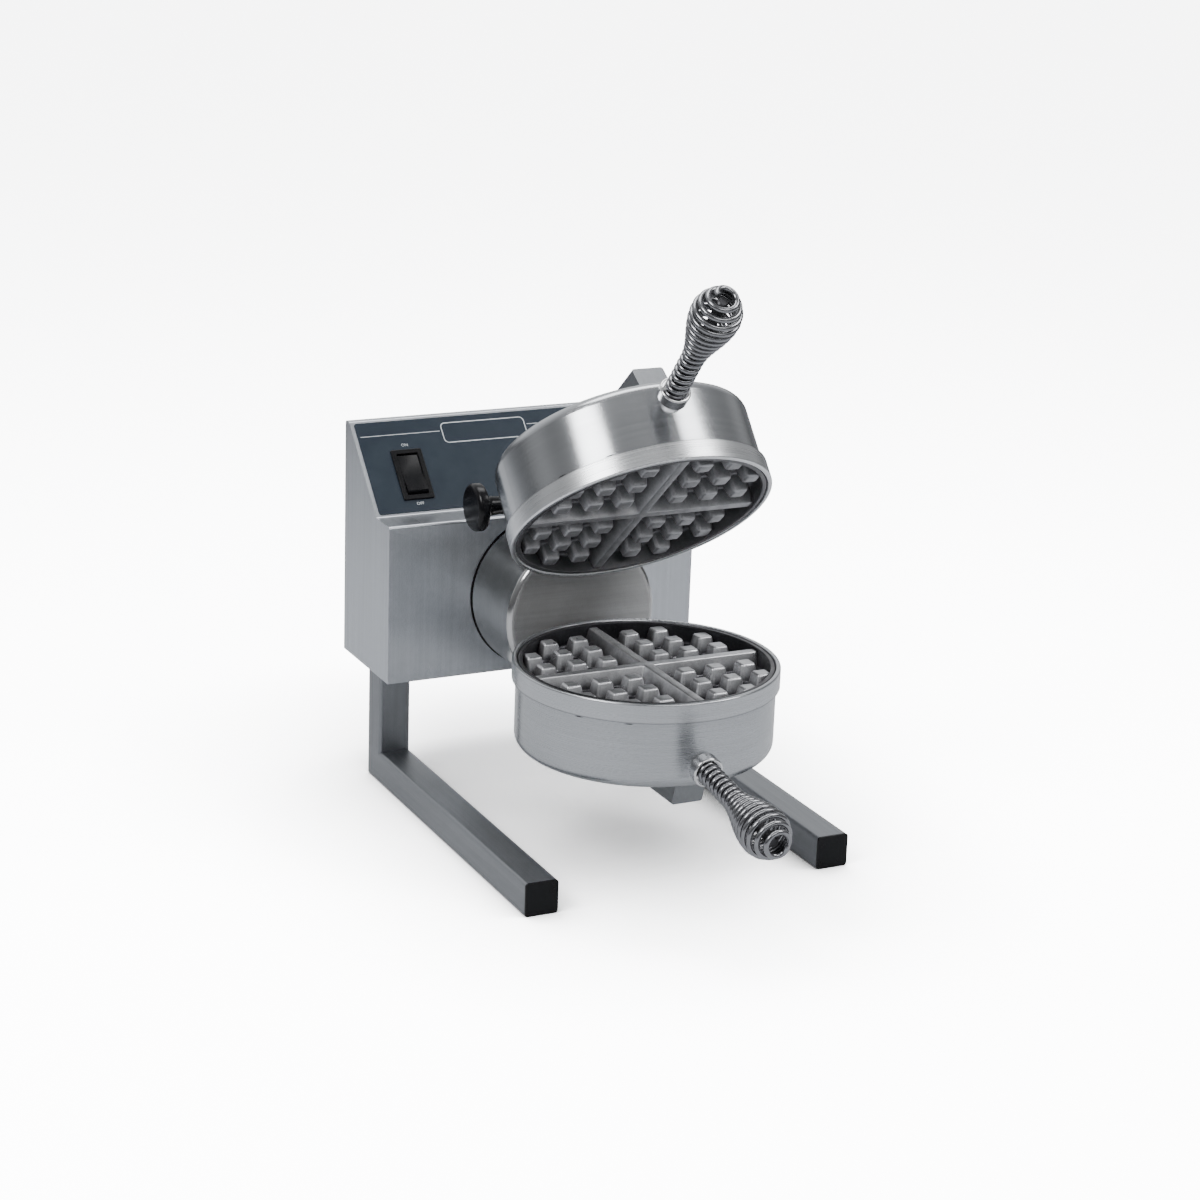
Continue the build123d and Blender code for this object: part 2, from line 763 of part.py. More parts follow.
# Hinge pin through the hub block and the upper arm, its ends peened over
with BuildPart() as hinge_pin:
    with BuildSketch(Plane.YZ.offset(-arm_width / 2 - slip)):
        with Locations((hinge_y, hinge_z)):
            Circle(hinge_pin_radius)
    extrude(amount=arm_width + 2 * slip)
    for side in (-1, 1):
        with BuildSketch(Plane.YZ.offset(side * (arm_width / 2 + slip))):
            with Locations((hinge_y, hinge_z)):
                Circle(pin_head_radius)
        extrude(amount=side * pin_head)
    chamfer(hinge_pin.faces().filter_by(Axis.X).sort_by(Axis.X)[0].edges(), pin_chamfer)
    chamfer(hinge_pin.faces().filter_by(Axis.X).sort_by(Axis.X)[-1].edges(), pin_chamfer)
keep(hinge_pin.part, "hinge_pin")

with BuildPart() as lower_arm_lock_bolts:
    with BuildSketch(Plane.YZ.offset(-arm_width / 2 - slip)):
        with Locations(*lock_spots):
            Circle(lock_bolt / 2)
    extrude(amount=arm_width + 2 * slip)
    for side in (-1, 1):
        with BuildSketch(Plane.YZ.offset(side * (arm_width / 2 + slip))):
            with Locations(*lock_spots):
                RegularPolygon(lock_head, 6)
        extrude(amount=side * lock_head_height)
keep_group(lower_arm_lock_bolts, "lower_arm_lock_bolts")

# Bracket welded to the hub block, whose eye takes the hold-open pin when the lid is up
hold_point = (upper_place * Location((0, -knob_place, knob_height))).position
bracket_inner = arm_width / 2 + bracket_gap
bracket_foot = (y_at(bracket_reach), axis_height + bracket_pad_rise)
with BuildPart() as hold_open_bracket:
    with BuildSketch(Plane.YZ.offset(bracket_inner)):
        with BuildLine():
            CenterArc((hold_point.Y, hold_point.Z), bracket_eye, 0, 360)
            CenterArc((bracket_foot[0], bracket_foot[1] - bracket_pad_height / 2), bracket_half, 0, 360)
        make_hull()
        with Locations((hold_point.Y, hold_point.Z)):
            Circle(hold_pin_radius + hold_play, mode=Mode.SUBTRACT)
    extrude(amount=bracket_sheet)
    with BuildSketch(Plane.YZ.offset(bracket_inner)):
        with Locations(bracket_foot):
            Rectangle(2 * bracket_half, bracket_pad_height)
    extrude(amount=block_half + slip - bracket_inner)
keep(hold_open_bracket.part, "hold_open_bracket")

# Bearings: a flanged block behind the housing's front, a bracket further back, a bush in each
bush_radius = shaft_radius + running_fit + bush_wall
front_block_back = housing_depth - sheet - slip - bearing_length
collar_reach = front_block_back - stop_play - collar_width
stop_z = axis_height - stop_half - stop_play - stop_pin_radius
with BuildPart() as bearing_block:
    with BuildSketch(Plane.XZ.offset(-y_at(front_block_back))):
        with Locations((0, axis_height)):
            Circle(bearing_radius)
            Circle(bush_radius + press_gap, mode=Mode.SUBTRACT)
            with PolarLocations(bearing_screw_circle, bearing_screws, 45):
                Circle(bearing_screw / 2, mode=Mode.SUBTRACT)
    extrude(amount=bearing_length)
    with BuildSketch(Plane.XZ.offset(-y_at(front_block_back))):
        with Locations((-stop_x, stop_z), (stop_x, stop_z)):
            Circle(stop_pin_radius)
    extrude(amount=-collar_width - stop_play)
keep(bearing_block.part, "bearing_block")

with BuildPart() as bearing_block_screws:
    with BuildSketch(Plane.XZ.offset(-y_at(housing_depth))):
        with Locations((0, axis_height)):
            with PolarLocations(bearing_screw_circle, bearing_screws, 45):
                Circle(bearing_screw / 2 - slip)
    extrude(amount=-bearing_screw_length)
keep_group(bearing_block_screws, "bearing_block_screws")

with BuildPart() as stop_collar:
    with BuildSketch(Plane.XZ.offset(-y_at(collar_reach))):
        with Locations((0, axis_height)):
            Circle(shaft_radius + collar_wall)
        with Locations((-stop_x / 2, axis_height)):
            Rectangle(stop_x + 2 * stop_pin_radius, 2 * stop_half)
        with Locations((0, axis_height)):
            Circle(shaft_radius + press_gap, mode=Mode.SUBTRACT)
    extrude(amount=collar_width)
keep(stop_collar.part, "stop_collar")

with BuildPart() as rear_bearing_bracket:
    with BuildSketch(Plane.XZ.offset(-y_at(rear_bracket_reach))):
        with Locations((0, (tray_top + axis_height) / 2)):
            Rectangle(2 * bearing_radius, axis_height - tray_top)
        with Locations((0, axis_height)):
            Circle(bearing_radius)
            Circle(bush_radius + press_gap, mode=Mode.SUBTRACT)
    extrude(amount=bracket_sheet)
    with BuildSketch(Plane.XY.offset(tray_top)):
        with Locations((0, y_at(rear_bracket_reach + foot_depth / 2))):
            Rectangle(2 * bearing_radius, foot_depth)
    extrude(amount=bracket_sheet)
keep(rear_bearing_bracket.part, "rear_bearing_bracket")

with BuildPart() as shaft_bushes:
    for bush_reach in (front_block_back, rear_bracket_reach + (bracket_sheet - bearing_length) / 2):
        with BuildSketch(Plane.XZ.offset(-y_at(bush_reach))):
            with Locations((0, axis_height)):
                Circle(bush_radius)
                Circle(shaft_radius + running_fit, mode=Mode.SUBTRACT)
        extrude(amount=bearing_length)
keep_group(shaft_bushes, "shaft_bushes")

# Waffle heads. Each piece is drawn in the head's own frame, with the rim's face on Z = 0: X is the
# width, Y runs forward from the head's centre and Z goes down into the head, away from the rim.
pan_bottom = head_height - pan_sheet
lead_bush_radius = lead_radius + grommet_wall
casting_radius = rim_opening - casting_clearance
casting_back = pocket_depth + casting_floor
insulation_front = casting_back + element_tube + 2 * slip
insulation_height = pan_bottom - slip - insulation_front
handle_plane = Plane(origin=(0, body_radius, handle_depth), x_dir=(1, 0, 0), z_dir=(0, tilt_cos, tilt_sin))
arm_bolt_spots = [(0, -arm_bolt_place), (0, arm_bolt_place)]

with BuildPart() as trim_ring:
    with BuildSketch(Plane.XZ):
        with Locations(((rim_opening + rim_radius) / 2, rim_height / 2)):
            Rectangle(rim_radius - rim_opening, rim_height)
        with Locations(((rim_opening + body_radius + slip) / 2, (rim_seat + rim_height) / 2)):
            Rectangle(body_radius + slip - rim_opening, rim_height - rim_seat, mode=Mode.SUBTRACT)
    revolve(axis=Axis.Z)
    fillet(trim_ring.edges().group_by(Axis.Z)[0], rim_round)
keep_both(trim_ring.part, "trim_ring")

with BuildPart() as head_pan:
    with BuildSketch(Plane.XY.offset(rim_seat + slip)):
        Circle(body_radius)
    extrude(amount=head_height - rim_seat - slip)
    fillet(head_pan.edges().group_by(Axis.Z)[-1], body_corner)
    offset(amount=-pan_sheet, openings=head_pan.faces().sort_by(Axis.Z)[0])
    with BuildSketch(Plane.XY.offset(pan_bottom - slip)):
        with Locations(*arm_bolt_spots):
            Circle(arm_bolt / 2 + slip)
        with Locations((0, -lead_place)):
            Circle(lead_bush_radius)
    extrude(amount=2 * pan_sheet, mode=Mode.SUBTRACT)
    with BuildSketch(handle_plane):
        Circle(rod_radius + slip)
    extrude(amount=2 * pan_sheet, both=True, mode=Mode.SUBTRACT)
keep_both(head_pan.part, "head_pan")

# Cast waffle grid: a wall, a floor, a cross of ridges and square studs, on bosses
stud_height = pocket_depth - stud_drop
flare = stud_height * tan(radians(stud_taper))
stud_base = stud_top + 2 * flare
ridge_base = ridge_top + 2 * flare
stud_steps = [stud_first + step * stud_pitch for step in range(stud_rows)]
stud_spots = [
    (side_x * across, side_y * along)
    for side_x in (-1, 1)
    for side_y in (-1, 1)
    for across in stud_steps
    for along in stud_steps
    if across + along < stud_steps[1] + stud_steps[2] + stud_pitch / 2
]

with BuildPart() as stud:
    with BuildSketch(Plane.XY.offset(pocket_depth)):
        RectangleRounded(stud_base, stud_base, flare + stud_round)
    extrude(amount=-stud_height, taper=stud_taper)
    fillet(stud.edges().group_by(Axis.Z)[0], stud_edge)

with BuildPart() as waffle_grid:
    with BuildSketch(Plane.XY.offset(pocket_depth)):
        Rectangle(2 * casting_radius, ridge_base)
        Rectangle(ridge_base, 2 * casting_radius)
    extrude(amount=-stud_height, taper=stud_taper)
    with Locations(*stud_spots):
        add(stud.part)
    with BuildSketch(Plane.XY.offset(pocket_depth)):
        Circle(casting_radius)
    extrude(amount=-pocket_depth, mode=Mode.INTERSECT)
    with BuildSketch(Plane.XY.offset(pocket_depth)):
        Circle(casting_radius)
    extrude(amount=casting_floor)
    with BuildSketch(Plane.XY.offset(pocket_depth)):
        Circle(casting_radius)
        Circle(casting_radius - casting_wall, mode=Mode.SUBTRACT)
    extrude(amount=casting_inset - pocket_depth)
    with BuildSketch(Plane.XY.offset(casting_back)):
        with Locations(*arm_bolt_spots):
            Circle(boss_radius)
        Circle(thermostat_radius)
    extrude(amount=element_tube)
    with BuildSketch(Plane.XY.offset(casting_back + element_tube)):
        with Locations(*arm_bolt_spots):
            Circle(arm_bolt / 2 + press_gap)
    extrude(amount=arm_bolt_tip - casting_back - element_tube, mode=Mode.SUBTRACT)
keep_both(waffle_grid.part, "waffle_grid")

# Tubular heating element: most of a circle, with both ends bent down to its terminals
element_z = casting_back + slip + element_tube / 2
element_gap = radians(element_gap_half)
loop_ends = []
for side in (1, -1):
    radial = Vector(side * sin(element_gap), -cos(element_gap), 0)
    toward_gap = Vector(-side * cos(element_gap), -sin(element_gap), 0)
    loop_end = radial * element_radius + Vector(0, 0, element_z)
    bend_middle = loop_end + toward_gap * element_bend * sin(pi / 4) + Vector(0, 0, element_bend * (1 - cos(pi / 4)))
    leg_start = loop_end + toward_gap * element_bend + Vector(0, 0, element_bend)
    loop_ends.append((loop_end, bend_middle, leg_start, leg_start + Vector(0, 0, element_leg)))

with BuildPart() as element:
    with BuildLine() as element_path:
        Line(loop_ends[0][3], loop_ends[0][2])
        ThreePointArc(loop_ends[0][2], loop_ends[0][1], loop_ends[0][0])
        ThreePointArc(loop_ends[0][0], (0, element_radius, element_z), loop_ends[1][0])
        ThreePointArc(loop_ends[1][0], loop_ends[1][1], loop_ends[1][2])
        Line(loop_ends[1][2], loop_ends[1][3])
    with BuildSketch(Plane(origin=loop_ends[0][3], z_dir=(0, 0, -1))):
        Circle(element_tube / 2)
    sweep()
keep_both(element.part, "heating_element")

with BuildPart() as thermostat:
    with BuildSketch(Plane.XY.offset(insulation_front)):
        Circle(thermostat_radius)
    extrude(amount=thermostat_height)
    with BuildSketch(Plane.XY.offset(insulation_front + thermostat_height)):
        with GridLocations(thermostat_radius, 1, 2, 1):
            Rectangle(terminal_thickness, terminal_width)
    extrude(amount=terminal_length)
keep_both(thermostat.part, "thermostat")

with BuildPart() as insulation:
    with BuildSketch(Plane.XY.offset(insulation_front)):
        Circle(body_radius - pan_sheet - insulation_clearance)
        with Locations(*arm_bolt_spots):
            Circle(arm_bolt / 2 + slip, mode=Mode.SUBTRACT)
    extrude(amount=insulation_height)
    fillet(insulation.edges().group_by(Axis.Z)[-1].sort_by(SortBy.LENGTH)[-1], body_corner)
    with BuildSketch(Plane.XY.offset(insulation_front)):
        Circle(thermostat_radius + pocket_play)
    extrude(amount=thermostat_height + terminal_length + pocket_play, mode=Mode.SUBTRACT)
    with BuildSketch(Plane.XY.offset(insulation_front)):
        with Locations((0, -element_radius)):
            Rectangle(terminal_space, 2 * element_bend)
    extrude(amount=element_bend + element_leg + pocket_play, mode=Mode.SUBTRACT)
    with BuildSketch(Plane.XY.offset(insulation_front)):
        with Locations((0, -lead_place)):
            Circle(lead_bush_radius)
    extrude(amount=insulation_height, mode=Mode.SUBTRACT)
    with BuildSketch(handle_plane):
        Circle(rod_head_radius + pocket_play)
    extrude(amount=-rod_inside - 2 * pocket_play, mode=Mode.SUBTRACT)
keep_both(insulation.part, "insulation")

# Arm: a channel along the back of the head, with a leg down to the pin in the hub block
arm_outer = head_height + arm_proud
arm_seat = head_height + slip
eye_place = hinge_reach - head_reach
eye_height = hinge_rise - rim_gap / 2
arm_side_view = [
    (arm_front + arm_front_slope, arm_seat),
    (arm_front, arm_outer),
    (-arm_back, arm_outer),
    (-arm_back, arm_seat),
]
arm_inner = arm_outer - arm_sheet
arm_inner_view = [
    (arm_front + arm_front_slope - arm_sheet, 0),
    (arm_front + arm_front_slope - arm_sheet, arm_seat),
    (arm_front - arm_sheet, arm_inner),
    (eye_place - 2 * eye_radius, arm_inner),
    (eye_place - 2 * eye_radius, 0),
]

for side, place in head_places.items():
    with BuildPart() as arm:
        with BuildSketch(Plane.YZ.offset(-arm_width / 2)):
            Polygon(*arm_side_view, align=None)
        extrude(amount=arm_width)
        long_edges = arm.edges().filter_by(Axis.Y).group_by(Axis.Z)[-1]
        fillet(long_edges, arm_sheet)
        with BuildSketch(Plane.YZ.offset(-arm_width / 2)):
            with BuildLine():
                CenterArc((eye_place, eye_height), eye_radius, 0, 360)
                Line((-arm_back, arm_seat), (-arm_back, arm_outer - arm_sheet))
                Line((-arm_back, arm_seat), (-arm_leg_front, arm_seat))
            make_hull()
        extrude(amount=arm_width)
        with BuildSketch(Plane.YZ.offset(arm_sheet - arm_width / 2)):
            Polygon(*arm_inner_view, align=None)
        extrude(amount=arm_width - 2 * arm_sheet, mode=Mode.SUBTRACT)
        with BuildSketch(Plane.YZ.offset(-arm_width / 2)):
            if side == "upper":
                with Locations((eye_place, eye_height)):
                    Circle(hinge_pin_radius + running_fit)
                with Locations((-knob_place, knob_height)):
                    Circle(hold_pin_radius + running_fit)
            else:
                with Locations((eye_place, eye_height), (-lock_place, lock_height - rim_gap / 2)):
                    Circle(lock_bolt / 2 + press_gap)
        extrude(amount=arm_width, mode=Mode.SUBTRACT)
        with BuildSketch(Plane.XY.offset(arm_inner)):
            with Locations(*arm_bolt_spots):
                Circle(arm_bolt / 2 + slip)
        extrude(amount=arm_sheet, mode=Mode.SUBTRACT)
    keep(arm.part.moved(place), f"{side}_arm")

# Shoulder bolts that hold a head to its arm: the shoulder keeps the pan off the arm's web
with BuildPart() as arm_bolts:
    with BuildSketch(Plane.XY.offset(arm_outer)):
        with Locations(*arm_bolt_spots):
            Circle(arm_bolt)
    extrude(amount=arm_bolt / 2)
    fillet(arm_bolts.edges().group_by(Axis.Z)[-1], arm_bolt / 3)
    with BuildSketch(Plane.XY.offset(arm_outer)):
        with Locations(*arm_bolt_spots):
            Circle(arm_bolt / 2)
    extrude(amount=arm_bolt_tip + slip - arm_outer)
    with BuildSketch(Plane.XY.offset(arm_inner - slip)):
        with Locations(*arm_bolt_spots):
            Circle(arm_bolt / 2 + shoulder_wall)
    extrude(amount=arm_seat - arm_inner + slip)
for side, place in head_places.items():
    bolts = [solid.moved(place) for solid in arm_bolts.part.solids()]
    keep(Compound(children=bolts), f"{side}_arm_bolts")

# Supply lead in each arm's channel, with a moulded bush where it enters the pan
lead_z = arm_inner - slip - lead_radius
lead_turn = lead_place + lead_bend
lead_path = [
    (0, -lead_start, lead_z),
    (0, -lead_turn, lead_z),
    (0, -lead_turn + lead_bend * sin(pi / 4), lead_z - lead_bend * (1 - cos(pi / 4))),
    (0, -lead_place, lead_z - lead_bend),
    (0, -lead_place, insulation_front + element_bend + element_leg + 2 * pocket_play),
]
with BuildPart() as lead:
    with BuildLine():
        Line(lead_path[0], lead_path[1])
        ThreePointArc(lead_path[1], lead_path[2], lead_path[3])
        Line(lead_path[3], lead_path[4])
    with BuildSketch(Plane(origin=lead_path[0], z_dir=(0, 1, 0))):
        Circle(lead_radius)
    sweep()
    with BuildSketch(Plane.XY.offset(pan_bottom - grommet_wall)):
        with Locations((0, -lead_place)):
            Circle(lead_bush_radius - slip)
    extrude(amount=pan_sheet + grommet_wall + slip)
keep_both(lead.part, "head_lead")

# Handle rod with its hex head inside the pan, and the cup that the coil starts in
with BuildPart() as handle_rod:
    with BuildSketch(handle_plane.offset(-rod_inside)):
        Circle(rod_radius)
    extrude(amount=rod_inside + handle_length - rod_short)
    chamfer(handle_rod.faces().sort_by(Axis(handle_plane.origin, handle_plane.z_dir))[-1].edges(), rod_radius / 4)
    with BuildSketch(handle_plane.offset(-rod_inside)):
        RegularPolygon(rod_head_radius, 6)
    extrude(amount=rod_head)
keep_both(handle_rod.part, "handle_rod")

with BuildPart() as handle_socket:
    with BuildSketch(handle_plane.offset(-socket_wall * 2)):
        Circle(socket_radius)
    extrude(amount=2 * socket_wall + socket_length)
    fillet(handle_socket.edges().sort_by(Axis(handle_plane.origin, handle_plane.z_dir))[-1], socket_round)
    with BuildSketch(handle_plane.offset(coil_start - wire / 2 - slip)):
        Circle(socket_radius - socket_wall)
    extrude(amount=socket_length, mode=Mode.SUBTRACT)
    with BuildSketch(handle_plane.offset(-socket_wall * 2)):
        Circle(rod_radius + slip)
    extrude(amount=2 * socket_wall + socket_length, mode=Mode.SUBTRACT)
    with BuildSketch(Plane.XY):
        Circle(body_radius + slip / 2)
    extrude(amount=head_height, mode=Mode.SUBTRACT)
keep_both(handle_socket.part, "handle_socket")


def hold_coil_point(turn):
    """Centre of the return spring's wire after a number of turns, in the spring's own frame."""
    along = hold_wire / 2 + (hold_spring_length - hold_wire) * turn / hold_turns
    radius = sleeve_radius - sleeve_wall - hold_spring_play - hold_wire / 2
    return Vector(radius * cos(2 * pi * turn), radius * sin(2 * pi * turn), along)


def tangent(point_at, turn, step=0.001):
    """Unit direction of a wound wire's centre line."""
    return (point_at(turn + step) - point_at(turn - step)).normalized()


def wound_wire(point_at, turns, steps_per_turn, thickness):
    """Sweep one unbroken round wire along pairs of tangent arcs that follow a coil's formula."""
    with BuildPart() as wound:
        with BuildLine():
            for index in range(round(turns * steps_per_turn)):
                first = index / steps_per_turn
                last = (index + 1) / steps_per_turn
                start, end = point_at(first), point_at(last)
                start_way, end_way = tangent(point_at, first), tangent(point_at, last)
                chord = end - start
                ways = start_way + end_way
                spread = 4 - ways.dot(ways)
                reach = (sqrt(chord.dot(ways) ** 2 + spread * chord.dot(chord)) - chord.dot(ways)) / spread
                joint = (start + start_way * reach + end - end_way * reach) / 2
                TangentArc(start, joint, tangent=start_way)
                TangentArc(joint, end, tangent=(end - end_way * reach) - joint)
        with BuildSketch(Plane(origin=point_at(0), z_dir=tangent(point_at, 0))):
            Circle(thickness / 2)
        sweep()
    return wound.part


def least_gap(point_at, turns, thickness, samples=coil_samples_per_turn):
    """Smallest clear distance between different turns of a wound wire."""
    points = [point_at(index / samples) for index in range(round(turns * samples) + 1)]
    gaps = []
    for index, point in enumerate(points):
        for other in points[index + samples // 2 : index + 2 * samples]:
            gaps.append((other - point).length - thickness)
    return min(gaps)


handle_coil = wound_wire(coil_point, coil_turns, 2, wire)
handle_location = Location(handle_plane)
keep_both(handle_coil.moved(handle_location), "handle_coil")
print(f"handle coil: least gap between turns {least_gap(coil_point, coil_turns, wire):.2f} mm")

# Push knob on the upper arm: knob, pin, sleeve and return spring, along the head's X
upper_knob = Plane(origin=(0, -knob_place, knob_height), x_dir=(0, 1, 0), z_dir=(1, 0, 0))
knob_base = knob_face_x - knob_length
sleeve_start = arm_width / 2 + slip
sleeve_end = knob_base - knob_travel - knob_gap
shoulder_start = sleeve_end - sleeve_wall - slip - shoulder
spring_start = sleeve_start + sleeve_wall + slip
hold_spring_length = shoulder_start - slip - spring_start

with BuildPart() as hold_open_knob:
    with BuildSketch(upper_knob.offset(knob_base)):
        Circle(knob_neck_radius)
    extrude(amount=knob_length - knob_cap)
    with BuildSketch(upper_knob.offset(knob_face_x - knob_cap)):
        Circle(knob_cap_radius)
    extrude(amount=knob_cap)
    rims = hold_open_knob.edges().filter_by(GeomType.CIRCLE).sort_by(SortBy.LENGTH)[-2:]
    fillet(rims, knob_round)
    with BuildSketch(upper_knob.offset(knob_base)):
        Circle(hold_pin_radius + press_gap)
    extrude(amount=knob_bore, mode=Mode.SUBTRACT)
keep(hold_open_knob.part.moved(upper_place), "hold_open_knob")

with BuildPart() as hold_open_pin:
    with BuildSketch(upper_knob.offset(-arm_width / 2)):
        Circle(hold_pin_radius)
    extrude(amount=arm_width / 2 + knob_base + knob_bore - slip)
    with BuildSketch(upper_knob.offset(shoulder_start)):
        Circle(sleeve_radius - sleeve_wall - hold_spring_play)
    extrude(amount=shoulder)
keep(hold_open_pin.part.moved(upper_place), "hold_open_pin")

with BuildPart() as hold_open_sleeve:
    with BuildSketch(upper_knob.offset(sleeve_start)):
        Circle(sleeve_radius)
    extrude(amount=sleeve_end - sleeve_start)
    with BuildSketch(upper_knob.offset(sleeve_start + sleeve_wall)):
        Circle(sleeve_radius - sleeve_wall)
    extrude(amount=sleeve_end - sleeve_start - 2 * sleeve_wall, mode=Mode.SUBTRACT)
    with BuildSketch(upper_knob.offset(sleeve_start)):
        Circle(hold_pin_radius + running_fit)
    extrude(amount=sleeve_end - sleeve_start, mode=Mode.SUBTRACT)
keep(hold_open_sleeve.part.moved(upper_place), "hold_open_sleeve")

hold_spring = wound_wire(hold_coil_point, hold_turns, 2, hold_wire)
spring_location = Location(upper_knob.offset(spring_start))
keep(hold_spring.moved(upper_place * spring_location), "hold_open_spring")
print(f"return spring: least gap between turns {least_gap(hold_coil_point, hold_turns, hold_wire):.2f} mm")

# Cord gland through the rear cover, with its catch inside
gland_plane = Plane.XZ.offset(-back_y)
with BuildPart() as cord_gland:
    with BuildSketch(gland_plane):
        with Locations((gland_x, gland_z)):
            Circle(gland_radius)
    extrude(amount=-gland_length)
    fillet(cord_gland.edges().group_by(Axis.Y)[-1], gland_radius / 4)
    with BuildSketch(gland_plane):
        with Locations((gland_x, gland_z)):
            Circle(gland_thread)
    extrude(amount=cover_recess + gland_nut)
    with BuildSketch(gland_plane.offset(cover_thickness + slip)):
        with Locations((gland_x, gland_z)):
            RegularPolygon(gland_radius, 6)
    extrude(amount=gland_nut)
    with BuildSketch(gland_plane.offset(-gland_length)):
        with Locations((gland_x, gland_z)):
            Circle(gland_bore)
    extrude(amount=gland_length + cover_recess + 2 * gland_nut, mode=Mode.SUBTRACT)
keep(cord_gland.part, "cord_gland")

# Terminal block on the tray
block_place = (terminal_block_x, y_at(terminal_block_reach))
with BuildPart() as terminal_block:
    with BuildSketch(Plane.XY.offset(tray_top)):
        with Locations(block_place):
            Rectangle(terminal_block_width, terminal_block_depth)
    extrude(amount=terminal_block_height)
    with BuildSketch(Plane.XY.offset(tray_top + terminal_block_height)):
        with Locations(block_place):
            with GridLocations(terminal_block_width / 3, 1, 3, 1):
                Rectangle(terminal_block_width / 5, terminal_block_depth)
    extrude(amount=-terminal_block_height / 2, mode=Mode.SUBTRACT)
keep(terminal_block.part, "terminal_block")

# Timer board on its spacers, with its relay, transformer and buzzer soldered on
board_spot = (board_x, y_at(board_reach))
board_bottom = tray_top + standoff
with BuildPart() as timer_board:
    with BuildSketch(Plane.XY.offset(tray_top)):
        with Locations(board_spot):
            with GridLocations(board_width - standoff, board_depth - standoff, 2, 2):
                Circle(standoff / 2)
    extrude(amount=standoff)
    with BuildSketch(Plane.XY.offset(board_bottom)):
        with Locations(board_spot):
            Rectangle(board_width, board_depth)
    extrude(amount=board_sheet)
    for off_x, off_y, size_x, size_y, size_z in board_parts.values():
        with BuildSketch(Plane.XY.offset(board_bottom + board_sheet)):
            with Locations((board_x + off_x, y_at(board_reach) + off_y)):
                Rectangle(size_x, size_y)
        extrude(amount=size_z)
keep(timer_board.part, "timer_board")

# Wiring from the terminal block into the hollow shaft, and on through the drum
harness_low = axis_height - shaft_bore + harness_radius + harness_play
harness_top = tray_top + terminal_block_height
harness_y = y_at(harness_reach)
with BuildPart() as supply_harness:
    with BuildLine() as harness_path:
        FilletPolyline(
            (terminal_block_x, harness_y, harness_top),
            (terminal_block_x, harness_y, harness_low),
            (0, harness_y, harness_low),
            (0, y_at(harness_end), harness_low),
            radius=harness_bend,
        )
    with BuildSketch(Plane(origin=(terminal_block_x, harness_y, harness_top), z_dir=(0, 0, 1))):
        Circle(harness_radius)
    sweep()
keep(supply_harness.part, "supply_harness")

with BuildPart() as drum_lead:
    with BuildSketch(Plane.XZ.offset(-y_at(harness_end + harness_break))):
        with Locations((0, harness_low)):
            Circle(harness_radius)
    extrude(amount=block_back + window_length - harness_end - 2 * harness_break)
keep(drum_lead.part, "drum_lead")

size = Compound(children=pieces).bounding_box()
print(f"size {size.size.X:.1f} x {size.size.Y:.1f} x {size.size.Z:.1f} mm")
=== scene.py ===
"""Looks of a flip waffle baker: finishes, castings, wound handles, printed panel, studio and camera.

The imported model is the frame, in metres: +X is the object's right side, -Y its front and +Z up.
Sizes held by the classes are millimetres in a piece's own frame, and a placement matrix turns a
finished mesh into metres in the model's frame.
"""

import json
import logging
import math
from dataclasses import dataclass
from enum import Enum
from typing import Callable, Sequence

import bmesh
import bpy
from mathutils import Matrix, Vector


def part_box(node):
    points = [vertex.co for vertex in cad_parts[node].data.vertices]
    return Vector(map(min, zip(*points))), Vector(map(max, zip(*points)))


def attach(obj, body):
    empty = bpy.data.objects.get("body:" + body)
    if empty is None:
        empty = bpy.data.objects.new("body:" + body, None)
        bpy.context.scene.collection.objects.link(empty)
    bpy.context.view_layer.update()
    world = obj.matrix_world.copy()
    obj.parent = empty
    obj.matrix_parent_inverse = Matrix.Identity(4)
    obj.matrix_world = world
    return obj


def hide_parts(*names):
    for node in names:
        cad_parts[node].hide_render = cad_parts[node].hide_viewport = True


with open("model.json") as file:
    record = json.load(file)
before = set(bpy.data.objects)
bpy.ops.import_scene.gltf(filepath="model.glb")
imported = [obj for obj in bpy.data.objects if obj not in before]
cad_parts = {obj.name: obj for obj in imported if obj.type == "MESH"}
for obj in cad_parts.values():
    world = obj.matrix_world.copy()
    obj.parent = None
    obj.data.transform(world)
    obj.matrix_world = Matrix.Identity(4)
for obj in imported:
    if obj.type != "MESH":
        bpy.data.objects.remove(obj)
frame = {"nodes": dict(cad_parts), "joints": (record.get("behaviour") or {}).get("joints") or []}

log = logging.getLogger("waffle_baker")

MM = 0.001
WELD = 1e-6
ON_AXIS = 1e-6
SMOOTH_ANGLE = math.radians(32)
FLAT_ANGLE = math.radians(0.6)
EDGE_STEPS = 2

# Most of a Noise Texture's grey values lie between these two
NOISE_LOW = 0.3
NOISE_HIGH = 0.7

# A Mix node's two inputs and its output, for vectors and for colours
VECTOR_FIRST, VECTOR_SECOND, VECTOR_RESULT = 4, 5, 1
COLOUR_FIRST, COLOUR_SECOND, COLOUR_RESULT = 6, 7, 2

Colour = tuple[float, float, float]
Point = tuple[float, float, float]
Shape = tuple[list[Vector], list[tuple[int, ...]]]


class Body(Enum):
    """The bodies of the model that pieces ride on."""

    STAND = "stand"
    ROTOR = "rotor"
    LID = "lid"
    HOLD_KNOB = "hold_open_knob"
    ROCKER = "switch_rocker"
    BUTTON = "timer_button"


class Side(Enum):
    """The two waffle heads."""

    LOWER = "lower"
    UPPER = "upper"


class Grain(Enum):
    """The way that the fine scratches of a metal finish run."""

    ALONG_X = (1.0, 0.03, 0.02)
    ALONG_Y = (0.03, 1.0, 0.02)
    ALONG_Z = (0.02, 0.03, 1.0)
    ROUND = (0.0, 0.0, 0.0)


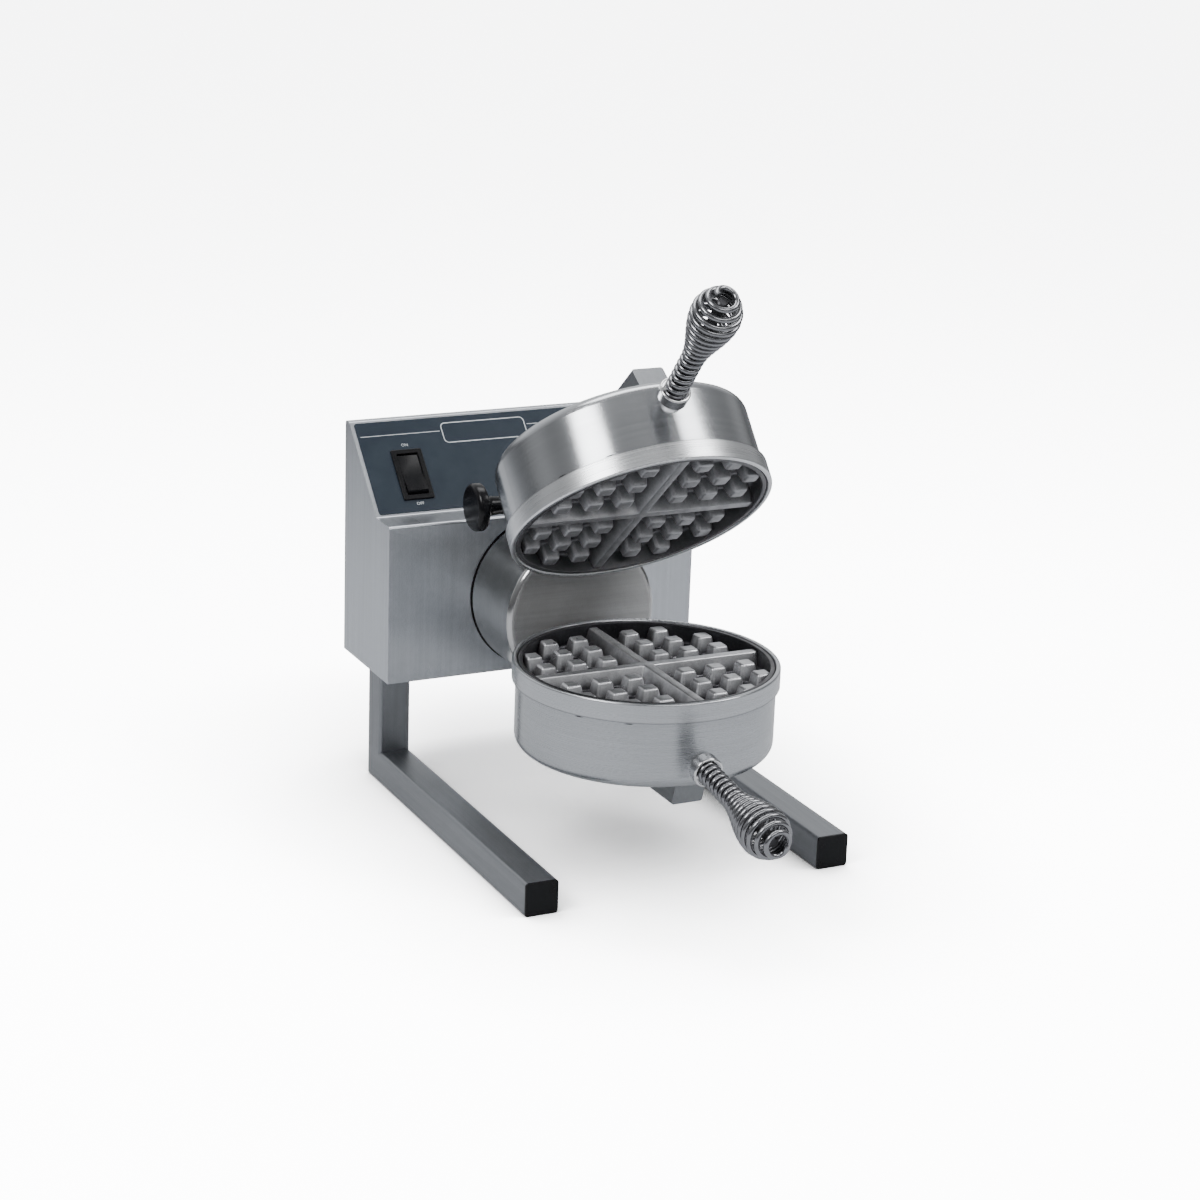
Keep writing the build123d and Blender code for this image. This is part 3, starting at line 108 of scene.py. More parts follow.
class Where(Enum):
    """The part of a surface that takes a metal's second grain.

    Each has an axis and the least share of the surface's normal along it. ABOVE has no least share,
    because it goes by the height that a finish names.
    """

    FLAT = (2, 0.3)
    FRONT = (1, 0.9)
    ABOVE = (2, 0.0)


class NodeGraph:
    """A node tree, with short calls for the nodes that the finishes and the pieces share."""

    def __init__(self, tree: bpy.types.NodeTree) -> None:
        """Wrap a tree.

        Args:
            tree: The tree of a material, a world or a piece.
        """
        self.tree = tree

    def node(self, kind: str, inputs: dict | None = None, **settings: object) -> bpy.types.Node:
        """Add a node.

        Args:
            kind: The node's type.
            inputs: Sockets or plain values for its inputs, by name or place.
            settings: The node's own properties.

        Returns:
            The new node.
        """
        made = self.tree.nodes.new(kind)
        for key, value in settings.items():
            setattr(made, key, value)
        for key, value in (inputs or {}).items():
            self.feed(made.inputs[key], value)
        return made

    def feed(self, socket: bpy.types.NodeSocket, value: object) -> None:
        """Link a socket to another, or give it a plain value.

        Args:
            socket: The input to feed.
            value: A socket or a plain value.
        """
        if isinstance(value, bpy.types.NodeSocket):
            self.tree.links.new(value, socket)
        else:
            socket.default_value = value

    def calc(self, operation: str, *values: object) -> bpy.types.NodeSocket:
        """Add a Math node over one to three sockets or numbers and return its result."""
        return self.node("ShaderNodeMath", dict(enumerate(values)), operation=operation).outputs[0]

    def vector_calc(self, operation: str, *values: object) -> bpy.types.NodeSocket:
        """Add a Vector Math node and return its vector."""
        return self.node("ShaderNodeVectorMath", dict(enumerate(values)), operation=operation).outputs[0]

    def object_point(self) -> bpy.types.NodeSocket:
        """Return the surface point in the piece's own coordinates."""
        return self.node("ShaderNodeTexCoord").outputs["Object"]

    def local_point(self, place: Matrix) -> bpy.types.NodeSocket:
        """Return the surface point in a frame that was placed on the model.

        Args:
            place: The frame's placement, without scale.

        Returns:
            The point in that frame, in metres.
        """
        turned = {"Vector": self.object_point(), "Location": place.translation, "Rotation": place.to_euler()}
        return self.node("ShaderNodeMapping", turned, vector_type="TEXTURE").outputs[0]

    def length(self, vector: bpy.types.NodeSocket) -> bpy.types.NodeSocket:
        """Return the length of a vector."""
        return self.node("ShaderNodeVectorMath", {0: vector}, operation="LENGTH").outputs["Value"]

    def parts(self, vector: bpy.types.NodeSocket) -> bpy.types.NodeOutputs:
        """Return the three parts of a vector."""
        return self.node("ShaderNodeSeparateXYZ", {0: vector}).outputs

    def noise(self, vector: bpy.types.NodeSocket, scale: float, detail: float = 2.0) -> bpy.types.NodeSocket:
        """Add a Noise Texture over a vector.

        Args:
            vector: The coordinates.
            scale: The number of blotches in one unit of the coordinates.
            detail: How far finer blotches are laid over the broad ones.

        Returns:
            The texture's grey value.
        """
        wanted = {"Vector": vector, "Scale": scale, "Detail": detail}
        return self.node("ShaderNodeTexNoise", wanted).outputs[0]

    def spread(self, noise: bpy.types.NodeSocket, low: float, high: float) -> bpy.types.NodeSocket:
        """Map a noise's usual values onto a range and return the result."""
        return self.remap(noise, low, high, NOISE_LOW, NOISE_HIGH)

    def remap(
        self, value: object, low: float, high: float, start: float = 0.0, end: float = 1.0
    ) -> bpy.types.NodeSocket:
        """Map a value from one range onto another, held at both ends.

        Args:
            value: The socket or number to map.
            low: The result at start and below.
            high: The result at end and above.
            start: Where the first range begins.
            end: Where the first range ends.

        Returns:
            The mapped value.
        """
        wanted = {"Value": value, "From Min": start, "From Max": end, "To Min": low, "To Max": high}
        return self.node("ShaderNodeMapRange", wanted).outputs[0]

    def mix(self, factor: object, first: object, second: object) -> bpy.types.NodeSocket:
        """Mix two colours and return the result."""
        pair = {0: factor, COLOUR_FIRST: rgba(first), COLOUR_SECOND: rgba(second)}
        return self.node("ShaderNodeMix", pair, data_type="RGBA").outputs[COLOUR_RESULT]

    def shaded(self, colour: Colour, factor: bpy.types.NodeSocket) -> bpy.types.NodeSocket:
        """Multiply a fixed colour by a grey value and return the result."""
        return self.vector_calc("MULTIPLY", colour, factor)

    def bump(self, height: bpy.types.NodeSocket, depth: float, strength: float = 1.0) -> bpy.types.NodeSocket:
        """Add a Bump node.

        Args:
            height: The grey value that is raised.
            depth: Its height in metres.
            strength: The share of the bump that shows.

        Returns:
            The bumped normal.
        """
        return self.node("ShaderNodeBump", {"Height": height, "Distance": depth, "Strength": strength}).outputs[0]


class ShaderGraph(NodeGraph):
    """A new material's node tree round its Principled shader."""

    def __init__(self, name: str) -> None:
        """Make a material.

        Args:
            name: The material's name.
        """
        self.material = bpy.data.materials.new(name)
        self.material.use_nodes = True
        super().__init__(self.material.node_tree)
        self.shader = self.tree.nodes["Principled BSDF"]

    def finish(self, **values: object) -> bpy.types.Material:
        """Give the shader's sockets their values.

        Args:
            values: Sockets, numbers or colours, named as the shader's inputs with _ for a space.

        Returns:
            The material.
        """
        for key, value in values.items():
            self.feed(self.shader.inputs[key.replace("_", " ")], rgba(value) if key.endswith("Color") else value)
        return self.material


def rgba(colour: object) -> object:
    """Give a plain colour its fourth number, and leave a socket as it is."""
    return (*colour, 1.0) if isinstance(colour, tuple) and len(colour) == 3 else colour


@dataclass(frozen=True)
class BrushedMetal:
    """Stainless steel with fine scratches that all run one way.

    Scratches and streaks are noise drawn out along the grain. The second grain runs where the surface
    says so, and above is the height that it starts from. A finish with an edge gets a painted shade line
    that darkens it towards that height in its placed frame. The sizes are in millimetres.
    """

    name: str
    slot: str
    colour: Colour
    roughness: float = 0.3
    grain: Grain = Grain.ALONG_X
    place: Matrix | None = None
    second: Grain | None = None
    where: Where = Where.FLAT
    above: float = 0.0
    second_roughness: float = 1.0
    edge: float = 0.0
    shade_line_width: float = 1.1
    shade_line_share: float = 0.4
    anisotropy: float = 0.55
    scratch: float = 0.25
    scratch_length: float = 60.0
    scratch_depth: float = 0.004
    streak: float = 3.0
    streak_share: float = 0.05
    streak_length: float = 260.0
    cloud: float = 70.0
    cloud_share: float = 0.05
    rough_share: float = 0.2
    rough_cloud: float = 0.1
    round_share: float = 0.1

    def mask(self, graph: ShaderGraph) -> bpy.types.NodeSocket:
        """Compare each point of the surface with the place of the second grain.

        Args:
            graph: The material's tree.

        Returns:
            1 where the second grain runs and 0 elsewhere.
        """
        axis, least = self.where.value
        if self.where is Where.ABOVE:
            return graph.calc("GREATER_THAN", graph.parts(graph.object_point())[axis], self.above * MM)
        normal = graph.node("ShaderNodeNewGeometry").outputs["True Normal"]
        return graph.calc("GREATER_THAN", graph.calc("ABSOLUTE", graph.parts(normal)[axis]), least)

    def chosen(self, graph: ShaderGraph, make: Callable[[Grain], object]) -> object:
        """Make a vector for the grain, or choose by place between the two grains' vectors.

        Args:
            graph: The material's tree.
            make: Gives a vector for one grain.

        Returns:
            The vector.
        """
        if self.second is None:
            return make(self.grain)
        pair = {0: self.mask(graph), VECTOR_FIRST: make(self.grain), VECTOR_SECOND: make(self.second)}
        return graph.node("ShaderNodeMix", pair, data_type="VECTOR").outputs[VECTOR_RESULT]

    def stretched(self, graph: ShaderGraph, grain: Grain, across: float, along: float) -> bpy.types.NodeSocket:
        """Draw the surface's coordinates out along the grain.

        Args:
            graph: The material's tree.
            grain: The way that the scratches run.
            across: The pitch across the grain, in millimetres.
            along: The pitch along the grain, in millimetres.

        Returns:
            Coordinates that change fast across the grain and slowly along it.
        """
        fast, slow = 1 / (across * MM), 1 / (along * MM)
        if grain is Grain.ROUND:
            return self.turned(graph, fast, slow)
        scale = tuple(slow if share == 1.0 else fast for share in grain.value)
        return graph.vector_calc("MULTIPLY", graph.object_point(), scale)

    def turned(self, graph: ShaderGraph, fast: float, slow: float) -> bpy.types.NodeSocket:
        """Lay the grain round the placed axis, with no seam.

        Args:
            graph: The material's tree.
            fast: The scratches in a metre across the grain.
            slow: The scratches in a metre along the grain.

        Returns:
            Coordinates from the radius, the height and the way round the axis.
        """
        across, along, height = graph.parts(graph.local_point(self.place))
        flat = graph.node("ShaderNodeCombineXYZ", {0: across, 1: along}).outputs[0]
        profile = graph.node("ShaderNodeCombineXYZ", {0: graph.length(flat), 2: height}).outputs[0]
        around = self.round_share * slow
        ways = graph.vector_calc("MULTIPLY", graph.vector_calc("NORMALIZE", flat), (around, around, around))
        return graph.vector_calc("ADD", ways, graph.vector_calc("MULTIPLY", profile, (fast, fast, fast)))

    def scratch_way(self, graph: ShaderGraph, grain: Grain) -> object:
        """Work out the direction of the scratches.

        Args:
            graph: The material's tree.
            grain: The way that the scratches run.

        Returns:
            The direction in the piece's own coordinates.
        """
        if grain is not Grain.ROUND:
            return grain.value
        axis = tuple(self.place.to_3x3() @ Vector((0, 0, 1)))
        offset = graph.vector_calc("SUBTRACT", graph.object_point(), tuple(self.place.translation))
        return graph.vector_calc("CROSS_PRODUCT", axis, offset)

    def tangent(self, graph: ShaderGraph) -> bpy.types.NodeSocket:
        """Work out the direction that highlights are drawn out in.

        Args:
            graph: The material's tree.

        Returns:
            The direction on the surface that is square to the scratches.
        """
        way = graph.node(
            "ShaderNodeVectorTransform", {0: self.chosen(graph, lambda grain: self.scratch_way(graph, grain))},
            vector_type="VECTOR", convert_from="OBJECT", convert_to="WORLD",
        ).outputs[0]
        normal = graph.node("ShaderNodeNewGeometry").outputs["Normal"]
        return graph.vector_calc("NORMALIZE", graph.vector_calc("CROSS_PRODUCT", normal, way))

    def material(self) -> bpy.types.Material:
        """Make the material on the first call.

        Returns:
            The material.
        """
        made = bpy.data.materials.get(self.name)
        if made:
            return made
        graph = ShaderGraph(self.name)
        fine = self.chosen(graph, lambda grain: self.stretched(graph, grain, self.scratch, self.scratch_length))
        broad = self.chosen(graph, lambda grain: self.stretched(graph, grain, self.streak, self.streak_length))
        scratches = graph.noise(fine, scale=1.0, detail=3.0)
        streaks = graph.noise(broad, scale=1.0, detail=3.0)
        clouds = graph.noise(graph.object_point(), 1 / (self.cloud * MM))
        shade = graph.calc(
            "MULTIPLY",
            graph.spread(streaks, 1 - self.streak_share, 1 + self.streak_share),
            graph.spread(clouds, 1 - self.cloud_share, 1 + self.cloud_share),
        )
        # Painted shade line: the colour darkens towards the edge height, standing for the shadow under the rim's skirt
        if self.edge:
            height = graph.parts(graph.local_point(self.place))[2]
            line = graph.remap(height, 1.0, self.shade_line_share, (self.edge - self.shade_line_width) * MM, self.edge * MM)
            shade = graph.calc("MULTIPLY", shade, line)
        rough = graph.calc(
            "MULTIPLY",
            graph.spread(scratches, (1 - self.rough_share) * self.roughness, (1 + self.rough_share) * self.roughness),
            graph.spread(clouds, 1 - self.rough_cloud, 1 + self.rough_cloud),
        )
        if self.second is not None and self.second_roughness != 1.0:
            rough = graph.calc("MULTIPLY", rough, graph.remap(self.mask(graph), 1.0, self.second_roughness))
        return graph.finish(
            Base_Color=graph.shaded(self.colour, shade),
            Metallic=1.0,
            Roughness=rough,
            Normal=graph.bump(scratches, self.scratch_depth * MM),
            Anisotropic=self.anisotropy,
            Tangent=self.tangent(graph),
        )


@dataclass(frozen=True)
class Casting:
    """Cast metal with a fine sand grain, with painted shade that darkens it towards the bottom of its pockets.

    A casting with a wall also has painted shade out to that radius, along the dish's inner wall. The sizes are in
    millimetres.
    """

    name: str
    slot: str
    colour: Colour
    shade_colour: Colour
    roughness: float = 0.5
    place: Matrix | None = None
    depth: float = 16.0
    grit: float = 0.9
    grit_depth: float = 0.05
    blotch: float = 14.0
    metallic: float = 0.85
    wall: float = 0.0
    wall_fade: float = 2.2
    unshaded_share: float = 0.15
    shade_blotch: float = 0.25
    speckle: float = 0.1
    rough_drop: float = 0.08
    rough_rise: float = 0.1
    grit_strength: float = 0.7

    def material(self) -> bpy.types.Material:
        """Make the material on the first call.

        Returns:
            The material.
        """
        made = bpy.data.materials.get(self.name)
        if made:
            return made
        graph = ShaderGraph(self.name)
        local = graph.local_point(self.place or Matrix())
        height = graph.parts(local)[2]
        blotches = graph.noise(local, 1 / (self.blotch * MM), detail=4.0)
        # Painted shade: the colour darkens with depth into the pockets and, with a wall, towards the dish's wall;
        # noise makes the shade blotchy
        depth_shade = graph.remap(height, 0.0, 1.0, self.unshaded_share * self.depth * MM, self.depth * MM)
        pocket_shade = graph.calc("ADD", depth_shade, graph.spread(blotches, -self.shade_blotch, self.shade_blotch))
        held = graph.remap(pocket_shade, 0.0, 1.0)
        if self.wall:
            flat = graph.vector_calc("MULTIPLY", local, (1.0, 1.0, 0.0))
            wall_shade = graph.remap(graph.length(flat), 0.0, 1.0, (self.wall - self.wall_fade) * MM, self.wall * MM)
            held = graph.calc("MAXIMUM", held, wall_shade)
        grain = graph.noise(local, 1 / (self.grit * MM), detail=3.0)
        speckle = graph.spread(grain, 1 - self.speckle, 1 + self.speckle)
        return graph.finish(
            Base_Color=graph.vector_calc("MULTIPLY", graph.mix(held, self.colour, self.shade_colour), speckle),
            Metallic=self.metallic,
            Roughness=graph.spread(blotches, self.roughness - self.rough_drop, self.roughness + self.rough_rise),
            Normal=graph.bump(grain, self.grit_depth * MM, self.grit_strength),
        )


@dataclass(frozen=True)
class Mottled:
    """A moulded, plated, painted or soft surface: a colour with slight mottling and a fine grain.

    The sizes are in millimetres.
    """

    name: str
    slot: str
    colour: Colour
    roughness: float = 0.4
    metallic: float = 0.0
    mottle: float = 6.0
    mottle_share: float = 0.06
    grain: float = 0.4
    grain_depth: float = 0.01
    coat: float = 0.0
    sheen: float = 0.0
    transmission: float = 0.0
    specular: float = 0.5
    rough_share: float = 0.1

    def material(self) -> bpy.types.Material:
        """Make the material on the first call.

        Returns:
            The material.
        """
        made = bpy.data.materials.get(self.name)
        if made:
            return made
        graph = ShaderGraph(self.name)
        point = graph.object_point()
        patches = graph.noise(point, 1 / (self.mottle * MM), detail=3.0)
        grit = graph.noise(point, 1 / (self.grain * MM))
        shade = graph.spread(patches, 1 - self.mottle_share, 1 + self.mottle_share)
        return graph.finish(
            Base_Color=graph.shaded(self.colour, shade),
            Metallic=self.metallic,
            Roughness=graph.spread(
                patches, (1 - self.rough_share) * self.roughness, (1 + self.rough_share) * self.roughness
            ),
            Normal=graph.bump(grit, self.grain_depth * MM),
            Coat_Weight=self.coat,
            Sheen_Weight=self.sheen,
            Transmission_Weight=self.transmission,
            Specular_IOR_Level=self.specular,
        )


Finish = BrushedMetal | Casting | Mottled


def metal(
    name: str, slot: str, colour: Colour, roughness: float, metallic: float = 1.0, grain_depth: float = 0.01
) -> Mottled:
    """Return the finish of a bare metal with no grain of its own."""
    return Mottled(name, slot, colour, roughness, metallic, grain_depth=grain_depth)


class PieceTree(NodeGraph):
    """A Geometry Nodes tree with named inputs that ends in Realize Instances and Set Material."""

    def __init__(self, name: str) -> None:
        """Start a tree with a geometry input, a geometry output and a material input.

        Args:
            name: The tree's name.
        """
        super().__init__(bpy.data.node_groups.new(name, "GeometryNodeTree"))
        self.tree.interface.new_socket("Geometry", in_out="OUTPUT", socket_type="NodeSocketGeometry")
        self.enter = self.node("NodeGroupInput")
        self.leave = self.node("NodeGroupOutput")
        self.identifiers: dict[str, str] = {}
        self.geometry = self.size("Geometry", "NodeSocketGeometry")
        self.finish = self.size("Finish", "NodeSocketMaterial")

    def size(self, name: str, kind: str = "NodeSocketFloat") -> bpy.types.NodeSocket:
        """Add a named input to the tree.

        Args:
            name: The input's name.
            kind: The type of its socket.

        Returns:
            Its socket.
        """
        made = self.tree.interface.new_socket(name, in_out="INPUT", socket_type=kind)
        self.identifiers[name] = made.identifier
        return self.enter.outputs[name]

    def close(self, geometry: bpy.types.NodeSocket) -> "PieceTree":
        """End the tree with Realize Instances and Set Material.

        Args:
            geometry: What the tree has made.

        Returns:
            The finished tree.
        """
        real = self.node("GeometryNodeRealizeInstances", {0: geometry}).outputs[0]
        dressed = self.node("GeometryNodeSetMaterial", {"Geometry": real, "Material": self.finish}).outputs[0]
        self.tree.links.new(dressed, self.leave.inputs[0])
        return self

    def run(self, source: bpy.types.Object, finish: Finish, **values: object) -> bpy.types.Object:
        """Run the tree on an object and turn the result into a plain mesh.

        Args:
            source: The object that holds the points or the path.
            finish: The finish for the result.
            values: The tree's other inputs, named with _ for a space.

        Returns:
            A new object with the plain mesh.
        """
        modifier = source.modifiers.new("build", "NODES")
        modifier.node_group = self.tree
        modifier[self.identifiers["Finish"]] = finish.material()
        for name, value in values.items():
            modifier[self.identifiers[name.replace("_", " ")]] = value
        return settle(source)


def wire_tree() -> PieceTree:
    """Make the tree that wraps a round wire about a path of edges.

    Returns:
        The tree, with the inputs Wire radius and Sides.
    """
    tree = PieceTree("wire along a path")
    radius, sides = tree.size("Wire radius"), tree.size("Sides", "NodeSocketInt")
    path = tree.node("GeometryNodeMeshToCurve", {"Mesh": tree.geometry}).outputs[0]
    ring = tree.node("GeometryNodeCurvePrimitiveCircle", {"Resolution": sides, "Radius": radius}).outputs[0]
    tube = tree.node("GeometryNodeCurveToMesh", {"Curve": path, "Profile Curve": ring, "Fill Caps": True})
    return tree.close(tube.outputs[0])


def scatter_tree() -> PieceTree:
    """Make the tree that sets one part on every point of a mesh, each turned by chance about Z.

    Returns:
        The tree, with the inputs Part, Turn (the greatest turn) and Seed.
    """
    tree = PieceTree("parts on points")
    part, turn = tree.size("Part", "NodeSocketObject"), tree.size("Turn")
    seed = tree.size("Seed", "NodeSocketInt")
    shape = tree.node("GeometryNodeObjectInfo", {"Object": part, "As Instance": True}).outputs["Geometry"]
    angle = tree.node("FunctionNodeRandomValue", {"Seed": seed}, data_type="FLOAT").outputs[1]
    spin = tree.node("ShaderNodeCombineXYZ", {2: tree.calc("MULTIPLY", angle, turn)}).outputs[0]
    wanted = {"Points": tree.geometry, "Instance": shape, "Rotation": spin}
    return tree.close(tree.node("GeometryNodeInstanceOnPoints", wanted).outputs[0])


def link_mesh(name: str, points: Sequence, faces: Sequence = (), edges: Sequence = ()) -> bpy.types.Object:
    """Make an object from points, faces and edges, and link it to the scene.

    Args:
        name: The object's name.
        points: Its points.
        faces: The points' numbers for each face.
        edges: The points' numbers for each loose edge.

    Returns:
        The object.
    """
    mesh = bpy.data.meshes.new(name)
    mesh.from_pydata([tuple(point) for point in points], list(edges), list(faces))
    made = bpy.data.objects.new(name, mesh)
    bpy.context.scene.collection.objects.link(made)
    return made


def settle(source: bpy.types.Object) -> bpy.types.Object:
    """Replace an object's mesh with its evaluated one and take its modifiers off.

    Args:
        source: The object, which may have modifiers.

    Returns:
        The same object with a plain mesh.
    """
    graph = bpy.context.evaluated_depsgraph_get()
    mesh = bpy.data.meshes.new_from_object(source.evaluated_get(graph), preserve_all_data_layers=True, depsgraph=graph)
    source.modifiers.clear()
    source.data = mesh
    mesh.name = source.name
    return source


def join(pieces: Sequence[bpy.types.Object], name: str) -> bpy.types.Object:
    """Join several plain meshes into one object and remove the rest.

    Args:
        pieces: The objects to join.
        name: The joined object's name.

    Returns:
        The joined object.
    """
    work = bmesh.new()
    for piece in pieces:
        work.from_mesh(piece.data)
    mesh = bpy.data.meshes.new(name)
    work.to_mesh(mesh)
    work.free()
    for piece in pieces:
        bpy.data.objects.remove(piece)
    joined = bpy.data.objects.new(name, mesh)
    bpy.context.scene.collection.objects.link(joined)
    return joined


def tidy_surface(piece: bpy.types.Object) -> None:
    """Merge doubles, turn the faces outwards and shade smoothly up to sharp edges.

    Args:
        piece: The object, with a plain mesh.
    """
    work = bmesh.new()
    work.from_mesh(piece.data)
    bmesh.ops.remove_doubles(work, verts=work.verts, dist=WELD)
    bmesh.ops.recalc_face_normals(work, faces=work.faces)
    work.to_mesh(piece.data)
    work.free()
    piece.data.shade_smooth()
    piece.data.set_sharp_from_angle(angle=SMOOTH_ANGLE)


def place_mesh(piece: bpy.types.Object, place: Matrix) -> bpy.types.Object:
    """Put a mesh drawn in millimetres in its place in the model's frame."""
    piece.data.transform(place @ Matrix.Scale(MM, 4))
    return piece


def paint(piece: bpy.types.Object, finish: Finish) -> None:
    """Give every material slot of a piece one finish.

    Args:
        piece: The piece.
        finish: The finish.
    """
    if not piece.material_slots:
        piece.data.materials.append(finish.material())
    for material_slot in piece.material_slots:
        material_slot.material = finish.material()


def mount(piece: bpy.types.Object, body: Body, finish: Finish, *nodes: str) -> bpy.types.Object:
    """Hang a finished piece on its body in the model.

    Args:
        piece: The piece, already in place.
        body: The body that carries it.
        finish: Its finish. Not used.
        nodes: The model's nodes that it stands for, if any.

    Returns:
        The same piece.
    """
    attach(piece, body.value)
    if nodes:
        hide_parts(*nodes)
    log.info("%s: %d faces, on %s", piece.name, len(piece.data.polygons), body.value)
    return piece


def dress(node: str, finish: Finish) -> None:
    """Give one of the model's nodes its finish and leave its shape alone."""
    paint(frame["nodes"][node], finish)
    log.info("%s dressed in %s", node, finish.name)


def dress_all(finishes: dict[str, Finish]) -> None:
    """Dress several nodes, each in the finish that the table gives it."""
    for node, finish in finishes.items():
        dress(node, finish)


def soften(node: str, body: Body, finish: Finish, width: float, angle: float = 35.0) -> bpy.types.Object:
    """Stand for a node with a copy of it whose sharp edges are rounded.

    Args:
        node: The model's node.
        body: The body that it rides.
        finish: Its finish.
        width: The width of the rounded edges, in millimetres.
        angle: The least bend of an edge that is rounded, in degrees.

    Returns:
        The piece that stands for the node.
    """
    piece = bpy.data.objects.new(f"{node}_soft", frame["nodes"][node].data.copy())
    bpy.context.scene.collection.objects.link(piece)
    work = bmesh.new()
    work.from_mesh(piece.data)
    bmesh.ops.remove_doubles(work, verts=work.verts, dist=WELD)
    bmesh.ops.dissolve_limit(work, angle_limit=FLAT_ANGLE, verts=work.verts, edges=work.edges)
    work.to_mesh(piece.data)
    work.free()
    piece.data.shade_smooth()
    piece.data.set_sharp_from_angle(angle=math.radians(angle))
    bevel = piece.modifiers.new("edges", "BEVEL")
    bevel.width = width * MM
    bevel.segments = EDGE_STEPS
    bevel.limit_method = "ANGLE"
    bevel.angle_limit = math.radians(angle)
    bevel.use_clamp_overlap = True
    bevel.harden_normals = True
    settle(piece)
    paint(piece, finish)
    return mount(piece, body, finish, node)


def rounded(corners: Sequence[Point], steps: int = 5) -> list[tuple[float, float]]:
    """Round the corners of an outline in a plane.

    Args:
        corners: Two coordinates and a radius for each corner. The first and last corners stay sharp.
        steps: The number of straight steps in a rounded corner.

    Returns:
        The outline's points.
    """
    outline = [corners[0][:2]]
    for before, corner, after in zip(corners, corners[1:], corners[2:]):
        middle = Vector(corner[:2])
        back = (Vector(before[:2]) - middle).normalized()
        ahead = (Vector(after[:2]) - middle).normalized()
        half = back.angle(ahead) / 2
        if corner[2] <= 0:
            outline.append(tuple(middle))
            continue
        centre = middle + (back + ahead).normalized() * corner[2] / math.sin(half)
        start = middle + back * corner[2] / math.tan(half) - centre
        end = middle + ahead * corner[2] / math.tan(half) - centre
        sweep = start.angle_signed(end)
        for step in range(steps + 1):
            turn = Matrix.Rotation(-sweep * step / steps, 2)
            outline.append(tuple(centre + turn @ start))
    outline.append(corners[-1][:2])
    return outline


def revolve(outline: Sequence[tuple[float, float]], steps: int = 96) -> Shape:
    """Turn an outline of radius and height about Z.

    Args:
        outline: Radius and height of each point. It starts and ends on the axis, or is closed.
        steps: The number of steps round the axis.

    Returns:
        The points and the faces.
    """
    points: list[Vector] = []
    rows: list[list[int]] = []
    for radius, height in outline:
        count = 1 if radius < ON_AXIS else steps
        rows.append(list(range(len(points), len(points) + count)))
        for step in range(count):
            way = 2 * math.pi * step / steps
            points.append(Vector((radius * math.cos(way), radius * math.sin(way), height)))
    pairs = list(zip(rows, rows[1:]))
    if len(rows[0]) > 1:
        pairs.append((rows[-1], rows[0]))
    faces: list[tuple[int, ...]] = []
    for low, high in pairs:
        for step in range(steps):
            following = (step + 1) % steps
            corners = [low[step % len(low)], low[following % len(low)]]
            corners += [high[following % len(high)], high[step % len(high)]]
            faces.append(tuple(dict.fromkeys(corners)))
    return points, faces


def stack(rings: Sequence[Sequence[Vector]]) -> Shape:
    """Join closed rings into one closed shape with a flat cap at both ends.

    Args:
        rings: The rings, each with the same number of points.

    Returns:
        The points and the faces.
    """
    count = len(rings[0])
    points = [point for ring in rings for point in ring]
    faces = []
    for level in range(len(rings) - 1):
        for step in range(count):
            following = (step + 1) % count
            low, high = level * count, (level + 1) * count
            faces.append((low + step, low + following, high + following, high + step))
    faces.append(tuple(reversed(range(count))))
    faces.append(tuple(range(len(points) - count, len(points))))
    return points, faces


def rounded_square(half_x: float, half_y: float, radius: float, height: float, steps: int = 4) -> list[Vector]:
    """Make one ring of a rectangle with rounded corners.

    Args:
        half_x: Half of the rectangle's size in X.
        half_y: Half of its size in Y.
        radius: The radius of its corners.
        height: The ring's height.
        steps: The number of straight steps in a corner.

    Returns:
        The ring's points.
    """
    ring = []
    for quarter, (side_x, side_y) in enumerate(((1, 1), (-1, 1), (-1, -1), (1, -1))):
        for step in range(steps + 1):
            way = math.pi / 2 * (quarter + step / steps)
            across = side_x * (half_x - radius) + radius * math.cos(way)
            along = side_y * (half_y - radius) + radius * math.sin(way)
            ring.append(Vector((across, along, height)))
    return ring


def cross_ring(half: float, reach: float, radius: float, height: float, steps: int = 4) -> list[Vector]:
    """Make one ring of a cross with rounded inner corners.

    Args:
        half: Half of the width of the cross's arms.
        reach: The distance from the middle to the arms' ends.
        radius: The radius of the inner corners.
        height: The ring's height.
        steps: The number of straight steps in a corner.

    Returns:
        The ring's points.
    """
    ring = []
    for quarter in range(4):
        turn = Matrix.Rotation(math.pi / 2 * quarter, 3, "Z")
        corner = [Vector((reach, -half, height)), Vector((reach, half, height))]
        for step in range(steps + 1):
            way = -math.pi / 2 - math.pi / 2 * step / steps
            across = half + radius + radius * math.cos(way)
            along = half + radius + radius * math.sin(way)
            corner.append(Vector((across, along, height)))
        ring.extend(turn @ point for point in corner)
    return ring


def middle_of(node: str) -> Vector:
    """Return the middle of a node's box."""
    low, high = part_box(node)
    return (low + high) / 2


def half_width(node: str) -> float:
    """Return half of a node's width along X, in millimetres."""
    low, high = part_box(node)
    return (high.x - low.x) / 2 / MM


def joint(name: str) -> dict:
    """Return the record of one of the model's joints."""
    return next(one for one in frame["joints"] if one["name"] == name)


@dataclass(frozen=True)
class HeadTones:
    """The colours and roughnesses in which the two heads' finishes differ. Both heads share one steel and one casting;
    the colours are set apart to paint the light and shade that each head gets.
    """

    pan: Colour
    pan_roughness: float
    rim: Colour
    grid: Colour
    grid_shade: Colour
    grid_roughness: float
    arm: Colour


